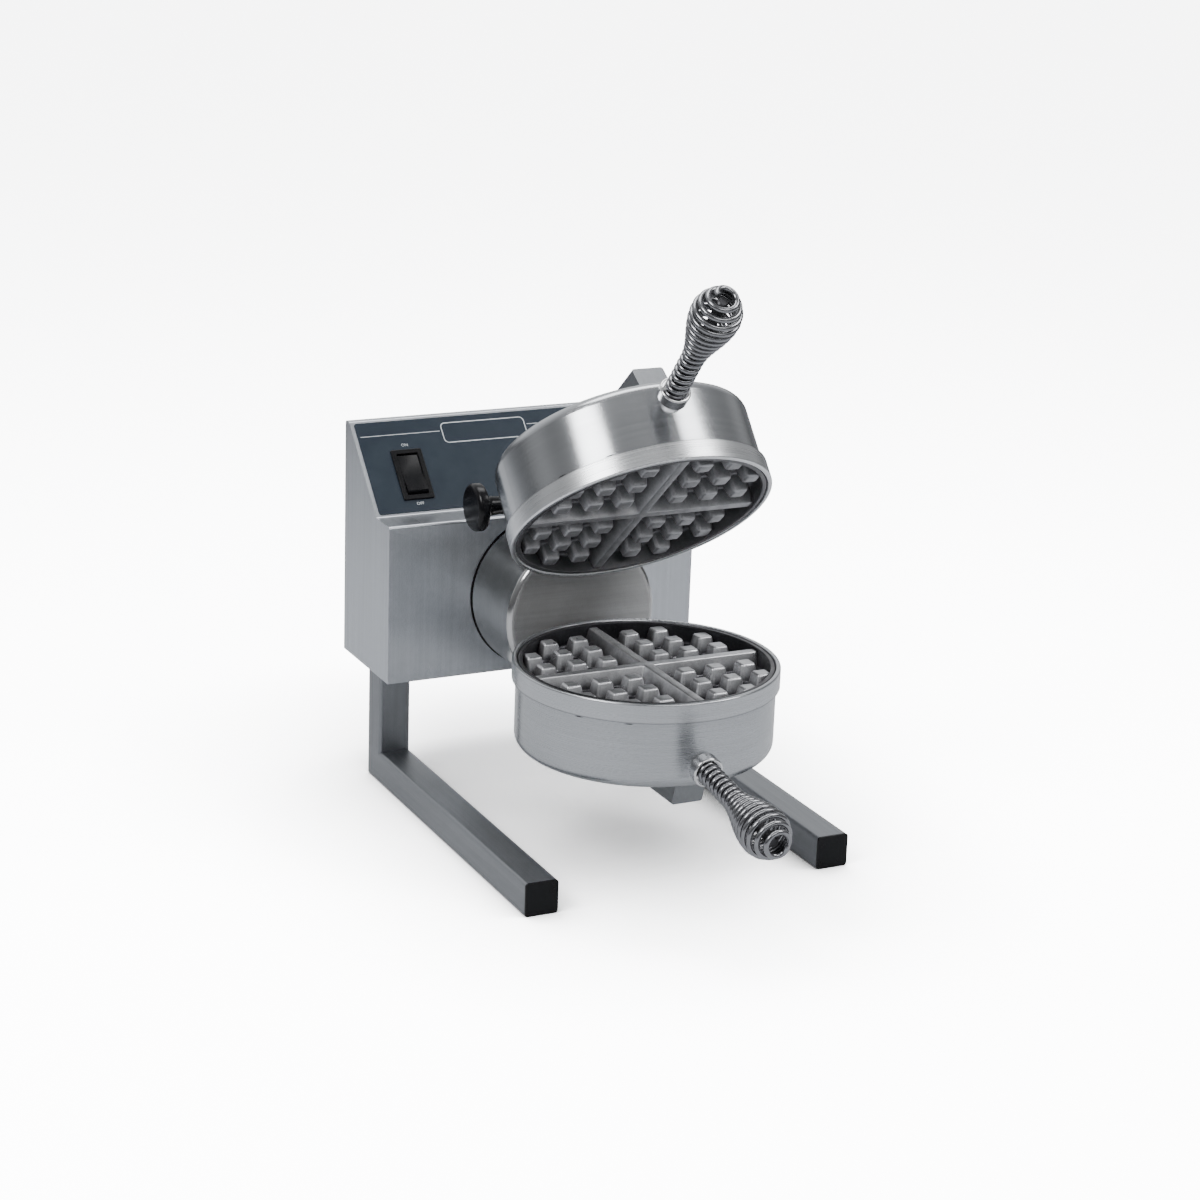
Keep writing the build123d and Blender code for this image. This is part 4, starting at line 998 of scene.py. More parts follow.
# Lit and shaded copies of the same metals: the upper grid is darker as painted shade and the upper rim lighter as
# painted light
HEAD_TONES = {
    Side.LOWER: HeadTones(
        pan=(0.37, 0.382, 0.40), pan_roughness=0.26, rim=(0.42, 0.432, 0.45),
        grid=(0.45, 0.455, 0.47), grid_shade=(0.045, 0.045, 0.05), grid_roughness=0.34,
        arm=(0.20, 0.208, 0.218),
    ),
    Side.UPPER: HeadTones(
        pan=(0.40, 0.41, 0.425), pan_roughness=0.2, rim=(0.60, 0.61, 0.625),
        grid=(0.35, 0.353, 0.368), grid_shade=(0.12, 0.121, 0.128), grid_roughness=0.46,
        arm=(0.22, 0.228, 0.24),
    ),
}


@dataclass
class Palette:
    """Every finish of the object, in one place.

    In millimetres, runner_top is where the posts' grain starts, grid_wall the radius of the dishes'
    outer wall, out to which the castings take painted shade, and rim_skirt the height of the rims' free
    edge, where the rims take a painted shade line.
    """

    head_places: dict[Side, Matrix]
    drum_place: Matrix
    runner_top: float = 25.4
    grid_wall: float = 90.4
    rim_skirt: float = 14.6

    def __post_init__(self) -> None:
        """Make the finishes."""
        self.make_stand()
        self.pan: dict[Side, Finish] = {}
        self.rim: dict[Side, Finish] = {}
        self.grid: dict[Side, Finish] = {}
        self.arm: dict[Side, Finish] = {}
        for side, place in self.head_places.items():
            self.make_head(side, place, HEAD_TONES[side])
        self.make_plain_metals()
        self.make_panel()
        self.make_soft()

    def make_stand(self) -> None:
        """Make the brushed steels of the housing, the legs and the drum."""
        self.sheet = BrushedMetal(
            "folded sheet steel", "brushed_sheet", (0.45, 0.47, 0.50), roughness=0.36, grain=Grain.ALONG_Z,
            second=Grain.ALONG_Y, where=Where.FLAT,
        )
        self.leg = BrushedMetal(
            "square tube steel", "leg_steel", (0.205, 0.213, 0.228), roughness=0.4, grain=Grain.ALONG_Y,
            second=Grain.ALONG_Z, where=Where.ABOVE, above=self.runner_top,
        )
        self.drum = BrushedMetal(
            "spun drum steel", "drum_steel", (0.40, 0.40, 0.40), roughness=0.15,
            grain=Grain.ROUND, place=self.drum_place, second=Grain.ALONG_X, where=Where.FRONT, second_roughness=3.2,
        )

    def make_head(self, side: Side, place: Matrix, tones: HeadTones) -> None:
        """Make the finishes of one waffle head.

        Args:
            side: Which head it is.
            place: The head's placement, whose Z is the axis of its turned pieces.
            tones: Its colours and roughnesses.
        """
        self.pan[side] = BrushedMetal(
            f"spun pan steel {side.value}", "head_steel", tones.pan, tones.pan_roughness,
            grain=Grain.ROUND, place=place, scratch_depth=0.0008, streak_share=0.03,
        )
        # The rim's edge puts a painted shade line at its skirt's free edge
        self.rim[side] = BrushedMetal(
            f"turned rim {side.value}", "rim_steel", tones.rim, roughness=0.3,
            grain=Grain.ROUND, place=place, scratch_depth=0.0008, streak_share=0.03, anisotropy=0.4,
            edge=self.rim_skirt,
        )
        self.grid[side] = Casting(
            f"cast grid {side.value}", "grid_casting", tones.grid, tones.grid_shade, tones.grid_roughness,
            place=place, wall=self.grid_wall,
        )
        self.arm[side] = BrushedMetal(
            f"arm steel {side.value}", "arm_steel", tones.arm, roughness=0.36, grain=Grain.ALONG_Y
        )

    def make_plain_metals(self) -> None:
        """Make the metals that have no grain of their own."""
        self.bearing = Casting(
            "bearing casting", "bearing_casting", (0.20, 0.20, 0.21), shade_colour=(0.16, 0.16, 0.17), roughness=0.6
        )
        self.machined = metal("machined steel", "machined_steel", (0.42, 0.42, 0.43), roughness=0.3)
        self.fastener = metal("plated fastener", "fasteners", (0.46, 0.46, 0.47), roughness=0.24)
        # Painted shade: the rod is darkened to stand for the shade inside the wound handle
        self.rod = metal("dark rod steel", "machined_steel", (0.07, 0.07, 0.075), roughness=0.42)
        self.wire = metal("bright coil wire", "coil_wire", (0.22, 0.222, 0.233), roughness=0.22, grain_depth=0.002)
        self.bright = metal("bright plated steel", "handle_metal", (0.62, 0.62, 0.63), roughness=0.16)
        self.bronze = metal("bronze", "bronze", (0.50, 0.32, 0.14), roughness=0.32)
        self.thermostat = metal("thermostat metal", "thermostat_metal", (0.55, 0.55, 0.55), roughness=0.35)
        self.sheath = metal("heater sheath", "element_sheath", (0.16, 0.15, 0.14), roughness=0.45, metallic=0.9)

    def make_panel(self) -> None:
        """Make the black plastics, and the panel's film, print and lens."""
        self.plastic = Mottled(
            "black plastic", "black_plastic", (0.004, 0.004, 0.005), roughness=0.3, grain_depth=0.01, specular=0.16
        )
        self.gloss = Mottled(
            "gloss black", "gloss_black", (0.004, 0.004, 0.005), roughness=0.22, grain_depth=0.002, specular=0.2
        )
        self.film = Mottled(
            "panel film", "panel_film", (0.012, 0.020, 0.031), roughness=0.34, grain=0.25, grain_depth=0.008,
            mottle=18.0, specular=0.25,
        )
        self.ink = Mottled("light print", "panel_film", (0.50, 0.53, 0.55), roughness=0.45, grain_depth=0.002)
        self.lamp = Mottled(
            "red lens", "lamp_red", (0.50, 0.015, 0.01), roughness=0.12, coat=0.5, transmission=0.25
        )

    def make_soft(self) -> None:
        """Make the black ring of painted gap shade, the wool, the board and the leads."""
        # Painted shade: a black ring stands for the dark gap round the drum
        self.gap_shade = Mottled(
            "black felt", "black_plastic", (0.006, 0.006, 0.006), roughness=0.9, grain_depth=0.05, specular=0.1
        )
        self.wool = Mottled(
            "insulation wool", "insulation_wool", (0.72, 0.70, 0.62), roughness=0.9, grain=0.8, grain_depth=0.3,
            sheen=0.2,
        )
        self.board = Mottled("circuit board", "board_green", (0.02, 0.13, 0.05), roughness=0.4)
        self.cable = Mottled("black cable", "cable_black", (0.015, 0.015, 0.016), roughness=0.5, grain_depth=0.02)


@dataclass
class WaffleHead:
    """One head: rim, spun pan, cast grid, wound handle and the parts inside.

    Its own frame has the rim's face on Z = 0, X across, Y forward and Z into the head.
    """

    side: Side
    body: Body
    place: Matrix
    palette: Palette
    wires: PieceTree
    scatter: PieceTree
    casting_wall: float = 3.6
    casting_inset: float = 0.8
    casting_floor: float = 5.0
    pocket_depth: float = 16.0
    lip_round: float = 0.9
    back_round: float = 0.8
    dish_steps: int = 144
    stud_rows: int = 3
    stud_seed: int = 1
    stud_drop: float = 3.0
    stud_first: float = 21.4
    stud_pitch: float = 24.6
    stud_half: float = 5.6
    stud_corner: float = 1.8
    least_corner: float = 0.5
    draft: float = 14.0
    ridge_half: float = 3.5
    ridge_corner: float = 2.0
    edge_round: float = 1.7
    ridge_round: float = 1.1
    foot_round: float = 1.8
    foot_sunk: float = 0.2
    pocket_round: float = 3.0
    handle_depth: float = 50.9
    handle_tilt: float = 9.3
    handle_length: float = 113.0
    wire: float = 4.2
    turns: int = 18
    samples: int = 36
    wire_sides: int = 14
    coil_start: float = 4.4
    neck_radius: float = 8.7
    bulge_radius: float = 18.4
    bulge_start: float = 40.0
    bulge_place: float = 90.0
    tip_radius: float = 6.5
    arm_edge: float = 0.35

    def node(self, name: str) -> str:
        """Return the name of one of this head's nodes."""
        return f"{self.side.value}_{name}"

    def build(self) -> None:
        """Build and dress every piece of the head."""
        self.build_grid()
        self.build_coil()
        palette = self.palette
        soften(self.node("arm"), self.body, palette.arm[self.side], self.arm_edge)
        finishes = {
            "trim_ring": palette.rim[self.side],
            "head_pan": palette.pan[self.side],
            "arm_bolts": palette.fastener,
            "handle_socket": palette.bright,
            "handle_rod": palette.rod,
            "heating_element": palette.sheath,
            "thermostat": palette.thermostat,
            "insulation": palette.wool,
            "head_lead": palette.cable,
        }
        dress_all({self.node(name): finish for name, finish in finishes.items()})

    def level(self, height: float) -> float:
        """Return how far a drafted wall has spread at a height, from its top face."""
        return (height - self.stud_drop) * math.tan(math.radians(self.draft))

    def drafted(self, top_round: float, steps: int = 4) -> list[tuple[float, float]]:
        """Work out the levels of a drafted stud or ridge.

        Args:
            top_round: The radius of the rounded top edge.
            steps: The number of steps in each rounding.

        Returns:
            How far each level has spread and its height, from the foot to the top.
        """
        levels = []
        for step in range(steps + 1):
            way = math.pi / 2 * step / steps
            flare = self.foot_round * (1 - math.sin(way))
            foot = self.pocket_depth + self.foot_sunk
            levels.append((flare, foot - self.foot_round * (1 - math.cos(way))))
        for step in range(steps + 1):
            way = math.pi / 2 * step / steps
            inset = -top_round * (1 - math.cos(way))
            levels.append((inset, self.stud_drop + top_round * (1 - math.sin(way))))
        return [(inset + self.level(height), height) for inset, height in levels]

    def stud(self) -> bpy.types.Object:
        """Build one stud, centred on the origin.

        Returns:
            The stud.
        """
        rings = []
        for spread, height in self.drafted(self.edge_round):
            half = self.stud_half + spread
            radius = max(self.least_corner, self.stud_corner + spread)
            rings.append(rounded_square(half, half, radius, height))
        return link_mesh("stud_pattern", *stack(rings))

    def stud_spots(self) -> list[Point]:
        """Lay out the studs in rows both ways in each quarter, less the quarter's far corner.

        Returns:
            The studs' middles.
        """
        steps = [self.stud_first + self.stud_pitch * step for step in range(self.stud_rows)]
        reach = steps[-2] + steps[-1] + self.stud_pitch / 2
        return [
            (side_x * across, side_y * along, 0.0)
            for side_x in (-1, 1)
            for side_y in (-1, 1)
            for across in steps
            for along in steps
            if across + along < reach
        ]

    def build_grid(self) -> None:
        """Build the cast grid: a dish, a cross of ridges and rows of drafted studs."""
        casting = self.palette.grid[self.side]
        outer = half_width(self.node("waffle_grid"))
        inner = outer - self.casting_wall
        floor, back = self.pocket_depth, self.pocket_depth + self.casting_floor
        outline = rounded([
            (0.0, floor, 0.0), (inner, floor, self.pocket_round), (inner, self.casting_inset, self.lip_round),
            (outer, self.casting_inset, self.lip_round), (outer, back, self.back_round), (0.0, back, 0.0),
        ])
        dish = link_mesh(self.node("cast_grid"), *revolve(outline, self.dish_steps))
        reach = inner + self.casting_wall / 2
        rings = []
        for spread, height in self.drafted(self.ridge_round):
            corner = self.ridge_corner - min(spread, self.ridge_corner / 2)
            rings.append(cross_ring(self.ridge_half + spread, reach, corner, height))
        ridges = link_mesh("ridges", *stack(rings))
        spots = link_mesh("stud_spots", self.stud_spots())
        pattern = self.stud()
        studs = self.scatter.run(spots, casting, Part=pattern, Turn=0.0, Seed=self.stud_seed)
        bpy.data.objects.remove(pattern)
        piece = join([dish, ridges, studs], self.node("cast_grid"))
        tidy_surface(piece)
        paint(piece, casting)
        mount(place_mesh(piece, self.place), self.body, casting, self.node("waffle_grid"))

    def coil_radius(self, along: float) -> float:
        """Work out the coil's outer radius: a straight neck, a swell and a rounded tip.

        Args:
            along: The distance from the pan's wall, in millimetres.

        Returns:
            The radius in millimetres.
        """
        if along < self.bulge_start:
            return self.neck_radius
        swell = self.bulge_radius - self.neck_radius
        if along < self.bulge_place:
            share = (along - self.bulge_start) / (self.bulge_place - self.bulge_start)
            return self.neck_radius + swell * (1 - math.cos(math.pi * share)) / 2
        share = min(1.0, (along - self.bulge_place) / (self.handle_length - self.bulge_place))
        return self.tip_radius + (self.bulge_radius - self.tip_radius) * math.cos(math.pi * share / 2)

    def coil_point(self, turn: float) -> Vector:
        """Work out the wire's centre after a number of turns.

        Args:
            turn: The number of turns.

        Returns:
            The centre in the handle's own frame, in millimetres.
        """
        end = self.handle_length - self.wire / 2
        along = self.coil_start + (end - self.coil_start) * turn / self.turns
        radius = self.coil_radius(along) - self.wire / 2
        way = 2 * math.pi * turn
        return Vector((radius * math.cos(way), radius * math.sin(way), along))

    def handle_place(self) -> Matrix:
        """Place the handle on the pan's wall, with Z along its rod.

        Returns:
            The placement.
        """
        lean = math.radians(self.handle_tilt)
        sine, cosine = math.sin(lean), math.cos(lean)
        turn = Matrix(((1, 0, 0), (0, sine, cosine), (0, -cosine, sine))).to_4x4()
        foot = Vector((0, half_width(self.node("head_pan")), self.handle_depth)) * MM
        return self.place @ Matrix.Translation(foot) @ turn

    def build_coil(self) -> None:
        """Build the handle's wound wire along its formula."""
        wire = self.palette.wire
        count = self.turns * self.samples
        points = [self.coil_point(step / self.samples) for step in range(count + 1)]
        path = link_mesh(self.node("wound_handle"), points, edges=[(step, step + 1) for step in range(count)])
        piece = self.wires.run(path, wire, Wire_radius=self.wire / 2, Sides=self.wire_sides)
        tidy_surface(piece)
        mount(place_mesh(piece, self.handle_place()), self.body, wire, self.node("handle_coil"))


@dataclass
class Housing:
    """The folded sheet housing with its tray, rear cover and legs.

    The dome of a screw is drawn by steps, each with its share of the head's radius and of its rise.
    """

    palette: Palette
    scatter: PieceTree
    screw_head: float = 4.0
    screw_rise: float = 2.0
    screw_shank: float = 2.0
    screw_length: float = 8.0
    screw_seed: int = 7
    screw_dome: tuple[tuple[float, float], ...] = (
        (0.625, 1.0), (0.8, 0.88), (0.9375, 0.62), (1.0, 0.3), (1.0, 0.0),
    )
    recess_half: float = 0.5
    recess_reach: float = 2.0
    recess_corner: float = 0.3
    recess_depth: float = 1.2
    recess_taper: float = 0.8

    def screw(self) -> bpy.types.Object:
        """Build one domed screw with a cross recess, its head's seat on Z = 0.

        Returns:
            The screw.
        """
        top, recess = self.screw_rise, cross_ring(self.recess_half, self.recess_reach, self.recess_corner, 0.0)
        rings = [[point * self.recess_taper + Vector((0, 0, top - self.recess_depth)) for point in recess]]
        rings.append([point + Vector((0, 0, top)) for point in recess])
        profile = [(across * self.screw_head, rise * top) for across, rise in self.screw_dome]
        profile += [(self.screw_shank, 0.0), (self.screw_shank, -self.screw_length)]
        for radius, height in profile:
            rings.append([point.normalized() * radius + Vector((0, 0, height)) for point in recess])
        return link_mesh("screw_pattern", *stack(rings))

    def build_screws(self) -> None:
        """Build the rear cover's screws, each turned by chance."""
        low, high = (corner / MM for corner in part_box("rear_cover_screws"))
        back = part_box("housing_shell")[1].y / MM
        rows = (low.z + self.screw_head, (low.z + high.z) / 2, high.z - self.screw_head)
        spots = [(side * (high.x - self.screw_head), back, row) for side in (-1, 1) for row in rows]
        place = Matrix.Rotation(-math.pi / 2, 4, "X")
        inverse = place.inverted()
        pattern = self.screw()
        points = link_mesh("cover_screws", [inverse @ Vector(spot) for spot in spots])
        finish = self.palette.fastener
        piece = self.scatter.run(points, finish, Part=pattern, Turn=math.pi, Seed=self.screw_seed)
        bpy.data.objects.remove(pattern)
        tidy_surface(piece)
        mount(place_mesh(piece, place), Body.STAND, finish, "rear_cover_screws")

    def build(self) -> None:
        """Build and dress every piece of the stand except the panel."""
        palette = self.palette
        soften("housing_shell", Body.STAND, palette.sheet, width=0.45)
        soften("base_tray", Body.STAND, palette.sheet, width=0.3)
        soften("rear_cover", Body.STAND, palette.sheet, width=0.25)
        soften("runner_end_caps", Body.STAND, palette.plastic, width=0.5)
        self.build_screws()
        soften("cord_gland", Body.STAND, palette.plastic, width=0.4)
        dress_all({
            "leg_left": palette.leg,
            "leg_right": palette.leg,
            "leg_bolts": palette.fastener,
            "bearing_block": palette.bearing,
            "bearing_block_screws": palette.fastener,
            "rear_bearing_bracket": palette.machined,
            "shaft_bushes": palette.bronze,
            "terminal_block": palette.plastic,
            "timer_board": palette.board,
            "supply_harness": palette.cable,
        })


@dataclass
class ControlPanel:
    """The printed overlay, the rocker switch, the lamp and the timer button.

    The panel's own frame lies on the overlay's face: X across, Y up the slope and Z out of it.
    """

    palette: Palette
    line: float = 0.55
    line_height: float = 28.2
    line_margin: float = 2.5
    badge_middle: tuple[float, float] = (-21.0, 26.2)
    badge_half: tuple[float, float] = (36.0, 9.2)
    badge_corner: float = 4.0
    badge_line: float = 0.8
    badge_gap: float = 1.5
    badge_steps: int = 6
    word_size: float = 3.6
    words: tuple[tuple[str, float, float], ...] = (("ON", -91.0, 18.3), ("OFF", -91.7, -33.9))
    word_steps: int = 3
    ink_rise: float = 0.04
    ink_sunk: float = 0.1
    overlay: float = 0.5

    def place(self) -> Matrix:
        """Place the panel's frame with Z square to the slope and Y up along it.

        Returns:
            The placement.
        """
        way = joint("timer_push")["axis"]
        turn = Matrix.Rotation(math.atan2(way[1], -way[2]), 4, "X")
        rise = Matrix.Translation((0, 0, self.overlay / 2 * MM))
        return Matrix.Translation(middle_of("panel_overlay")) @ turn @ rise

    def strip(self, left: float, right: float, height: float) -> Shape:
        """Make one printed line along X.

        Args:
            left: Where it starts.
            right: Where it ends.
            height: Its place up the slope.

        Returns:
            The points and the faces.
        """
        half = self.line / 2
        ring = [Vector((x, y, 0)) for x, y in ((left, -half), (right, -half), (right, half), (left, half))]
        return stack([[point + Vector((0, height, z)) for point in ring] for z in (-self.ink_sunk, self.ink_rise)])

    def badge(self) -> Shape:
        """Make the blank name plate's printed outline.

        Returns:
            The points and the faces.
        """
        rings = []
        outside = [self.badge_half[0], self.badge_half[1], self.badge_corner]
        inside = [size - self.badge_line for size in outside]
        shift = Vector((*self.badge_middle, 0))
        for sizes, height in (
            (outside, -self.ink_sunk), (outside, self.ink_rise), (inside, self.ink_rise), (inside, -self.ink_sunk),
        ):
            rings.append([point + shift for point in rounded_square(*sizes, height, self.badge_steps)])
        points, faces = stack(rings + rings[:1])
        return points, faces[:-2]

    def word(self, body: str, across: float, along: float) -> bpy.types.Object:
        """Print one word.

        Args:
            body: The word.
            across: Its middle's place in X.
            along: Its middle's place up the slope.

        Returns:
            The word as a plain mesh.
        """
        curve = bpy.data.curves.new(f"word_{body}", "FONT")
        curve.body = body
        curve.size = self.word_size
        curve.align_x, curve.align_y = "CENTER", "CENTER"
        curve.extrude = self.ink_rise
        curve.resolution_u = self.word_steps
        holder = bpy.data.objects.new(f"word_{body}", curve)
        bpy.context.scene.collection.objects.link(holder)
        graph = bpy.context.evaluated_depsgraph_get()
        mesh = bpy.data.meshes.new_from_object(holder.evaluated_get(graph))
        bpy.data.objects.remove(holder)
        mesh.transform(Matrix.Translation((across, along, 0)))
        letters = bpy.data.objects.new(f"word_{body}", mesh)
        bpy.context.scene.collection.objects.link(letters)
        return letters

    def build_print(self) -> None:
        """Build the lines, the blank plate's outline and the two words on the overlay."""
        end = half_width("panel_overlay") - self.line_margin
        middle, reach = self.badge_middle[0], self.badge_half[0] + self.badge_gap
        shapes = [
            self.strip(-end, middle - reach, self.line_height),
            self.strip(middle + reach, end, self.line_height),
            self.badge(),
        ]
        parts = [link_mesh("ink", *shape) for shape in shapes]
        parts += [self.word(*word) for word in self.words]
        piece = join(parts, "panel_print")
        tidy_surface(piece)
        paint(piece, self.palette.ink)
        mount(place_mesh(piece, self.place()), Body.STAND, self.palette.ink)

    def build(self) -> None:
        """Build and dress every piece of the panel."""
        palette = self.palette
        soften("panel_overlay", Body.STAND, palette.film, width=0.12)
        soften("switch_body", Body.STAND, palette.plastic, width=0.3)
        soften("switch_rocker", Body.ROCKER, palette.plastic, width=0.5)
        soften("button_ring", Body.STAND, palette.bright, width=0.3)
        dress_all({"indicator_lamp": palette.lamp, "timer_button": palette.gloss})
        self.build_print()


@dataclass
class Drum:
    """The spun drum, its shaft, a black ring of painted shade in its gap to the housing, and the parts that it
    carries.
    """

    palette: Palette
    shade_ring_proud: float = 0.7
    shade_ring_width: float = 4.0
    shade_ring_thickness: float = 0.9

    def build_gap_shade(self) -> None:
        """Build a black ring that paints the shade in the gap between the drum and the housing."""
        outer = half_width("drum_shell") + self.shade_ring_proud
        inner = outer - self.shade_ring_width
        thickness = self.shade_ring_thickness
        outline = [(inner, 0.0), (outer, 0.0), (outer, thickness), (inner, thickness)]
        shade_ring = link_mesh("drum_seal", *revolve(outline))
        tidy_surface(shade_ring)
        gap_shade = self.palette.gap_shade
        paint(shade_ring, gap_shade)
        middle, back = middle_of("drum_shell"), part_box("drum_shell")[1].y
        spot = Matrix.Translation((middle.x, back, middle.z)) @ Matrix.Rotation(-math.pi / 2, 4, "X")
        mount(place_mesh(shade_ring, spot), Body.ROTOR, gap_shade)

    def build(self) -> None:
        """Build and dress every piece of the drum."""
        self.build_gap_shade()
        palette = self.palette
        soften("hub_block", Body.ROTOR, palette.machined, width=0.4)
        soften("lower_arm_lock_bolts", Body.ROTOR, palette.fastener, width=0.3)
        soften("hold_open_bracket", Body.ROTOR, palette.machined, width=0.3)
        dress_all({
            "drum_shell": palette.drum,
            "drum_back_plate": palette.drum,
            "hub_shaft": palette.machined,
            "hub_bolts": palette.fastener,
            "stop_collar": palette.machined,
            "hinge_pin": palette.machined,
            "drum_lead": palette.cable,
        })


@dataclass
class HoldOpenKnob:
    """The push knob on the upper arm, with its pin, sleeve and return spring.

    The knob's own frame has Z along its axis, from the arm's middle plane outwards.
    """

    palette: Palette
    length: float = 31.0
    bore: float = 3.02
    bore_depth: float = 16.0
    foot_radius: float = 8.3
    waist_radius: float = 6.9
    waist_place: float = 7.5
    flare_radius: float = 8.2
    flare_place: float = 19.5
    cap_start: float = 22.7
    cap_round: float = 4.0
    bore_round: float = 0.2
    mouth_round: float = 0.3
    foot_round: float = 0.9
    waist_round: float = 10.0
    flare_round: float = 6.0
    cap_edge: float = 1.8
    corner_steps: int = 8
    steps: int = 72

    def outline(self) -> list[tuple[float, float]]:
        """Draw the knob's outline from the bore's bottom to the cap's face.

        Returns:
            The radius and height of each point.
        """
        low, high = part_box("hold_open_knob")
        face, cap = -low.x / MM, (high.z - low.z) / 2 / MM
        base = face - self.length
        return rounded([
            (0.0, base + self.bore_depth, 0.0),
            (self.bore, base + self.bore_depth, self.bore_round),
            (self.bore, base, self.mouth_round),
            (self.foot_radius, base, self.foot_round),
            (self.waist_radius, base + self.waist_place, self.waist_round),
            (self.flare_radius, base + self.flare_place, self.flare_round),
            (cap, base + self.cap_start, self.cap_edge),
            (cap, face, self.cap_round),
            (0.0, face, 0.0),
        ], self.corner_steps)

    def build(self) -> None:
        """Build the knob and dress what it runs in."""
        palette = self.palette
        middle = middle_of("hold_open_knob")
        place = Matrix.Translation((0, middle.y, middle.z)) @ Matrix.Rotation(-math.pi / 2, 4, "Y")
        piece = link_mesh("push_knob", *revolve(self.outline(), self.steps))
        tidy_surface(piece)
        paint(piece, palette.gloss)
        mount(place_mesh(piece, place), Body.HOLD_KNOB, palette.gloss, "hold_open_knob")
        dress_all({
            "hold_open_pin": palette.machined,
            "hold_open_sleeve": palette.bright,
            "hold_open_spring": palette.wire,
        })


@dataclass(frozen=True)
class SoftBox:
    """A soft rectangular light, in metres and watts, that faces a height on the model's middle line."""

    name: str
    spot: Point
    aim_height: float
    size: tuple[float, float]
    power: float

    def build(self) -> None:
        """Add the light to the scene."""
        light = bpy.data.lights.new(self.name, "AREA")
        light.shape = "RECTANGLE"
        light.size, light.size_y = self.size
        light.energy = self.power
        holder = bpy.data.objects.new(self.name, light)
        away = Vector(self.spot) - Vector((0.0, 0.0, self.aim_height))
        holder.matrix_world = Matrix.Translation(self.spot) @ away.to_track_quat("Z", "Y").to_matrix().to_4x4()
        bpy.context.scene.collection.objects.link(holder)


SOFT_BOXES = (
    SoftBox("left_box", (-1.30, -0.45, 1.40), 0.25, (0.65, 0.65), 20.0),
    SoftBox("right_box", (1.15, -0.75, 1.55), 0.25, (0.6, 0.9), 17.0),
    SoftBox("top_box", (0.0, 0.55, 1.9), 0.2, (1.6, 0.7), 22.0),
    SoftBox("front_fill", (0.1, -1.8, 1.5), 0.3, (1.4, 0.6), 12.0),
)


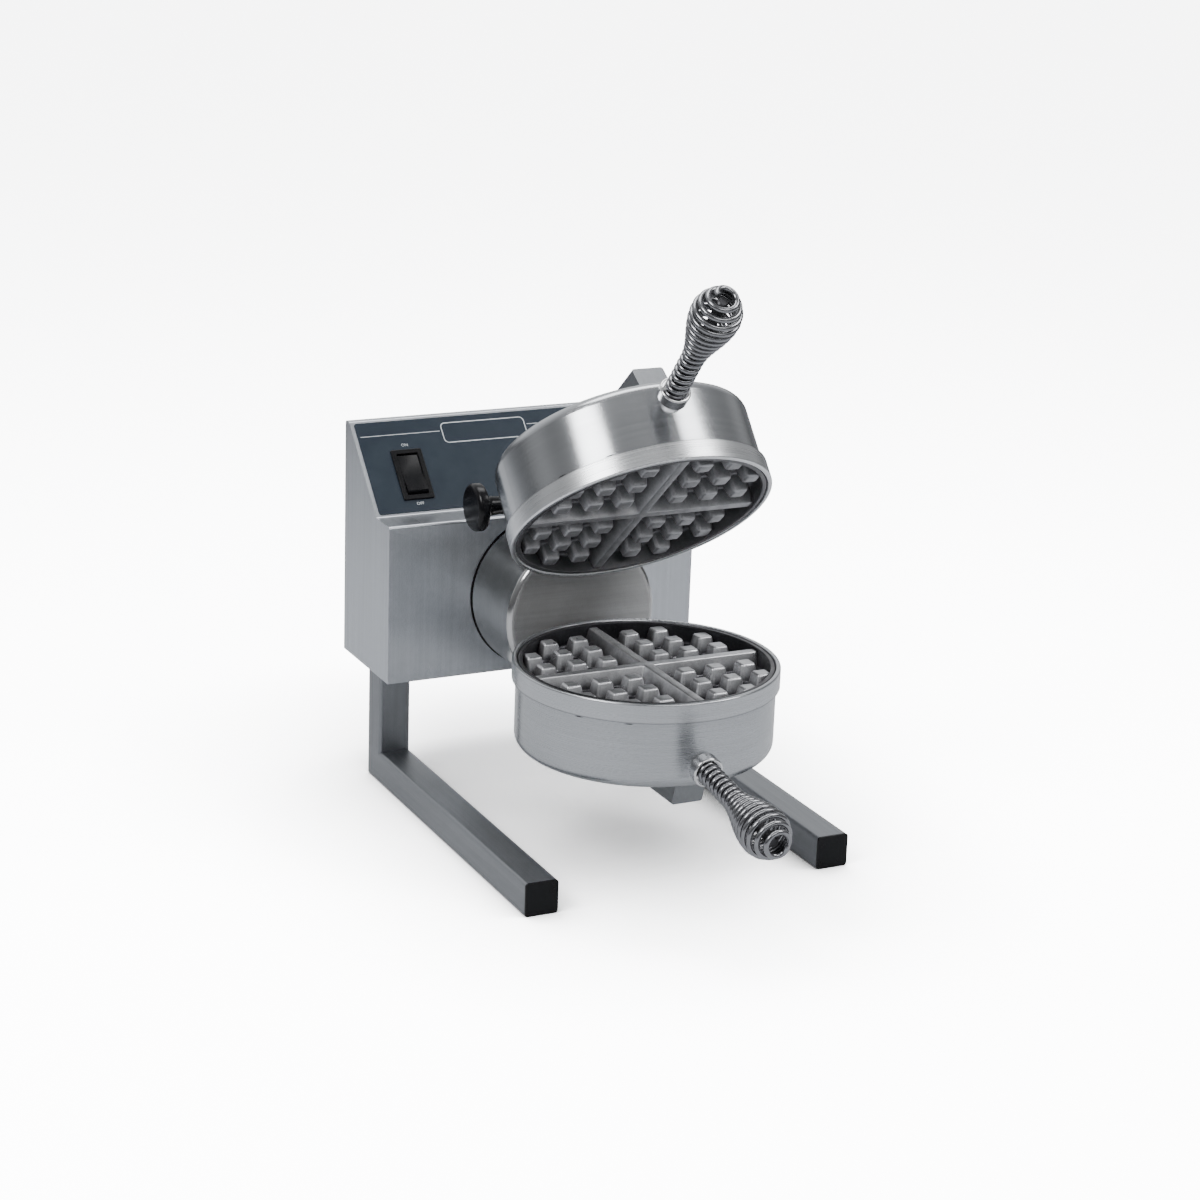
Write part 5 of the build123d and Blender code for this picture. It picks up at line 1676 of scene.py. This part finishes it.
@dataclass
class Studio:
    """The pale floor, the soft lights and the camera at the photograph's viewing angle.

    The camera's sizes are in millimetres and degrees, and the floor's in metres.
    """

    azimuth: float = -26.49
    elevation: float = 17.52
    roll: float = 2.07
    lens: float = 84.387
    sensor: float = 36.0
    distance: float = 2105.45
    look_x: float = -3.13
    look_reach: float = 200.0
    look_height: float = 173.4
    floor_radius: float = 40.0
    floor_steps: int = 64
    floor_colour: Colour = (0.62, 0.63, 0.65)
    floor_far: Colour = (0.24, 0.245, 0.255)
    floor_near: float = 0.9
    floor_fade: float = 1.7
    floor_seen: Colour = (5.0, 5.0, 5.05)
    floor_glow: float = 4.0
    floor_cloud: float = 3.0
    floor_dim: float = 0.985
    floor_roughness: float = 0.85
    shade_reach: float = 0.24
    shade_power: float = 2.0
    shade_samples: int = 8
    sky_colour: Colour = (0.97, 0.985, 1.0)
    sky_low: float = 0.22
    sky_high: float = 0.62
    sky_reach: float = 1.1
    back_start: float = 0.2
    back_full: float = 0.9
    horizon_fade: float = 0.2

    def build(self) -> None:
        """Make the floor, the lights, the world and the camera."""
        self.build_floor()
        self.build_world()
        for box in SOFT_BOXES:
            box.build()
        self.build_camera()

    def look_point(self) -> Vector:
        """Return the point that the camera looks at."""
        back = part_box("housing_shell")[1].y
        return Vector((self.look_x * MM, back - self.look_reach * MM, self.look_height * MM))

    def build_camera(self) -> None:
        """Place the camera by its angles, its roll and its distance from the point it looks at."""
        turn, rise = math.radians(self.azimuth), math.radians(self.elevation)
        tilt = math.radians(self.roll)
        back = Vector((math.sin(turn) * math.cos(rise), -math.cos(turn) * math.cos(rise), math.sin(rise)))
        right = Vector((math.cos(turn), math.sin(turn), 0.0))
        up = back.cross(right)
        rolled_right = math.cos(tilt) * right + math.sin(tilt) * up
        rolled_up = -math.sin(tilt) * right + math.cos(tilt) * up
        camera = bpy.data.objects.new("camera", bpy.data.cameras.new("camera"))
        camera.data.lens = self.lens
        camera.data.sensor_width = self.sensor
        facing = Matrix((rolled_right, rolled_up, back)).transposed().to_4x4()
        camera.matrix_world = Matrix.Translation(self.look_point() + back * self.distance * MM) @ facing
        bpy.context.scene.collection.objects.link(camera)
        bpy.context.scene.camera = camera

    def build_floor(self) -> None:
        """Make a plain pale disc under the runners. Only the camera sees its glow and its contact shade."""
        ring = [
            Vector((math.cos(way), math.sin(way), 0.0)) * self.floor_radius
            for way in (2 * math.pi * step / self.floor_steps for step in range(self.floor_steps))
        ]
        floor = link_mesh("floor", ring, [tuple(range(self.floor_steps))])
        graph = ShaderGraph("pale floor")
        shade = graph.spread(graph.noise(graph.object_point(), self.floor_cloud), self.floor_dim, 1.0)
        seen = graph.node("ShaderNodeLightPath").outputs["Is Camera Ray"]
        away = graph.remap(graph.length(graph.object_point()), 0.0, 1.0, self.floor_near, self.floor_fade)
        contact = graph.node(
            "ShaderNodeAmbientOcclusion", {"Distance": self.shade_reach}, samples=self.shade_samples
        ).outputs["AO"]
        open_share = graph.calc("POWER", contact, self.shade_power)
        seen_colour = graph.vector_calc("MULTIPLY", self.floor_seen, open_share)
        colour = graph.mix(seen, graph.mix(away, self.floor_colour, self.floor_far), seen_colour)
        glow = graph.calc("MULTIPLY", graph.calc("MULTIPLY", seen, self.floor_glow), open_share)
        floor.data.materials.append(
            graph.finish(
                Base_Color=graph.vector_calc("MULTIPLY", colour, shade), Roughness=self.floor_roughness,
                Emission_Color=(1.0, 1.0, 1.0), Emission_Strength=glow,
            )
        )

    def build_world(self) -> None:
        """Light the room softly: dim round the horizon, brighter above and bright behind the object."""
        world = bpy.data.worlds.new("studio")
        world.use_nodes = True
        graph = NodeGraph(world.node_tree)
        background = graph.tree.nodes["Background"]
        _, back, up = graph.parts(graph.node("ShaderNodeTexCoord").outputs["Generated"])
        above = graph.remap(up, self.sky_low, self.sky_high, 0.0, self.sky_reach)
        behind = graph.calc(
            "MULTIPLY",
            graph.remap(back, 0.0, 1.0, self.back_start, self.back_full),
            graph.remap(up, 0.0, 1.0, 0.0, self.horizon_fade),
        )
        graph.feed(background.inputs[0], rgba(self.sky_colour))
        graph.feed(background.inputs[1], graph.calc("ADD", above, behind))
        bpy.context.scene.world = world


def head_places() -> dict[Side, Matrix]:
    """Work out the placement of both heads from the rim's box and the lid's joint.

    Returns:
        The placement of each head's own frame.
    """
    low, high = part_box("lower_trim_ring")
    middle = (low + high) / 2
    lower = Matrix.Translation((0, middle.y, high.z)) @ Matrix.Rotation(math.pi, 4, "X")
    axis = joint("head_flip")["pos_m"]
    hinge = Vector(joint("lid_hinge")["pos_m"])
    closed_height = 2 * axis[2] - high.z
    closed = Matrix.Translation((0, middle.y, closed_height)) @ Matrix.Rotation(math.pi, 4, "Z")
    swing = Matrix.Rotation(-math.radians(joint("lid_hinge")["range_deg"][1]), 4, "X")
    upper = Matrix.Translation(hinge) @ swing @ Matrix.Translation(-hinge) @ closed
    return {Side.LOWER: lower, Side.UPPER: upper}


def main() -> None:
    """Build the object round the frame, then the studio."""
    logging.basicConfig(level=logging.INFO, format="%(name)s: %(message)s")
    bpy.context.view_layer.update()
    places = head_places()
    drum_axis = Matrix.Translation(middle_of("drum_shell")) @ Matrix.Rotation(math.pi / 2, 4, "X")
    palette = Palette(places, drum_axis)
    wires, scatter = wire_tree(), scatter_tree()
    Housing(palette, scatter).build()
    ControlPanel(palette).build()
    Drum(palette).build()
    HoldOpenKnob(palette).build()
    for side, body in ((Side.LOWER, Body.ROTOR), (Side.UPPER, Body.LID)):
        WaffleHead(side, body, places[side], palette, wires, scatter).build()
    Studio().build()


if __name__ == "__main__":
    main()
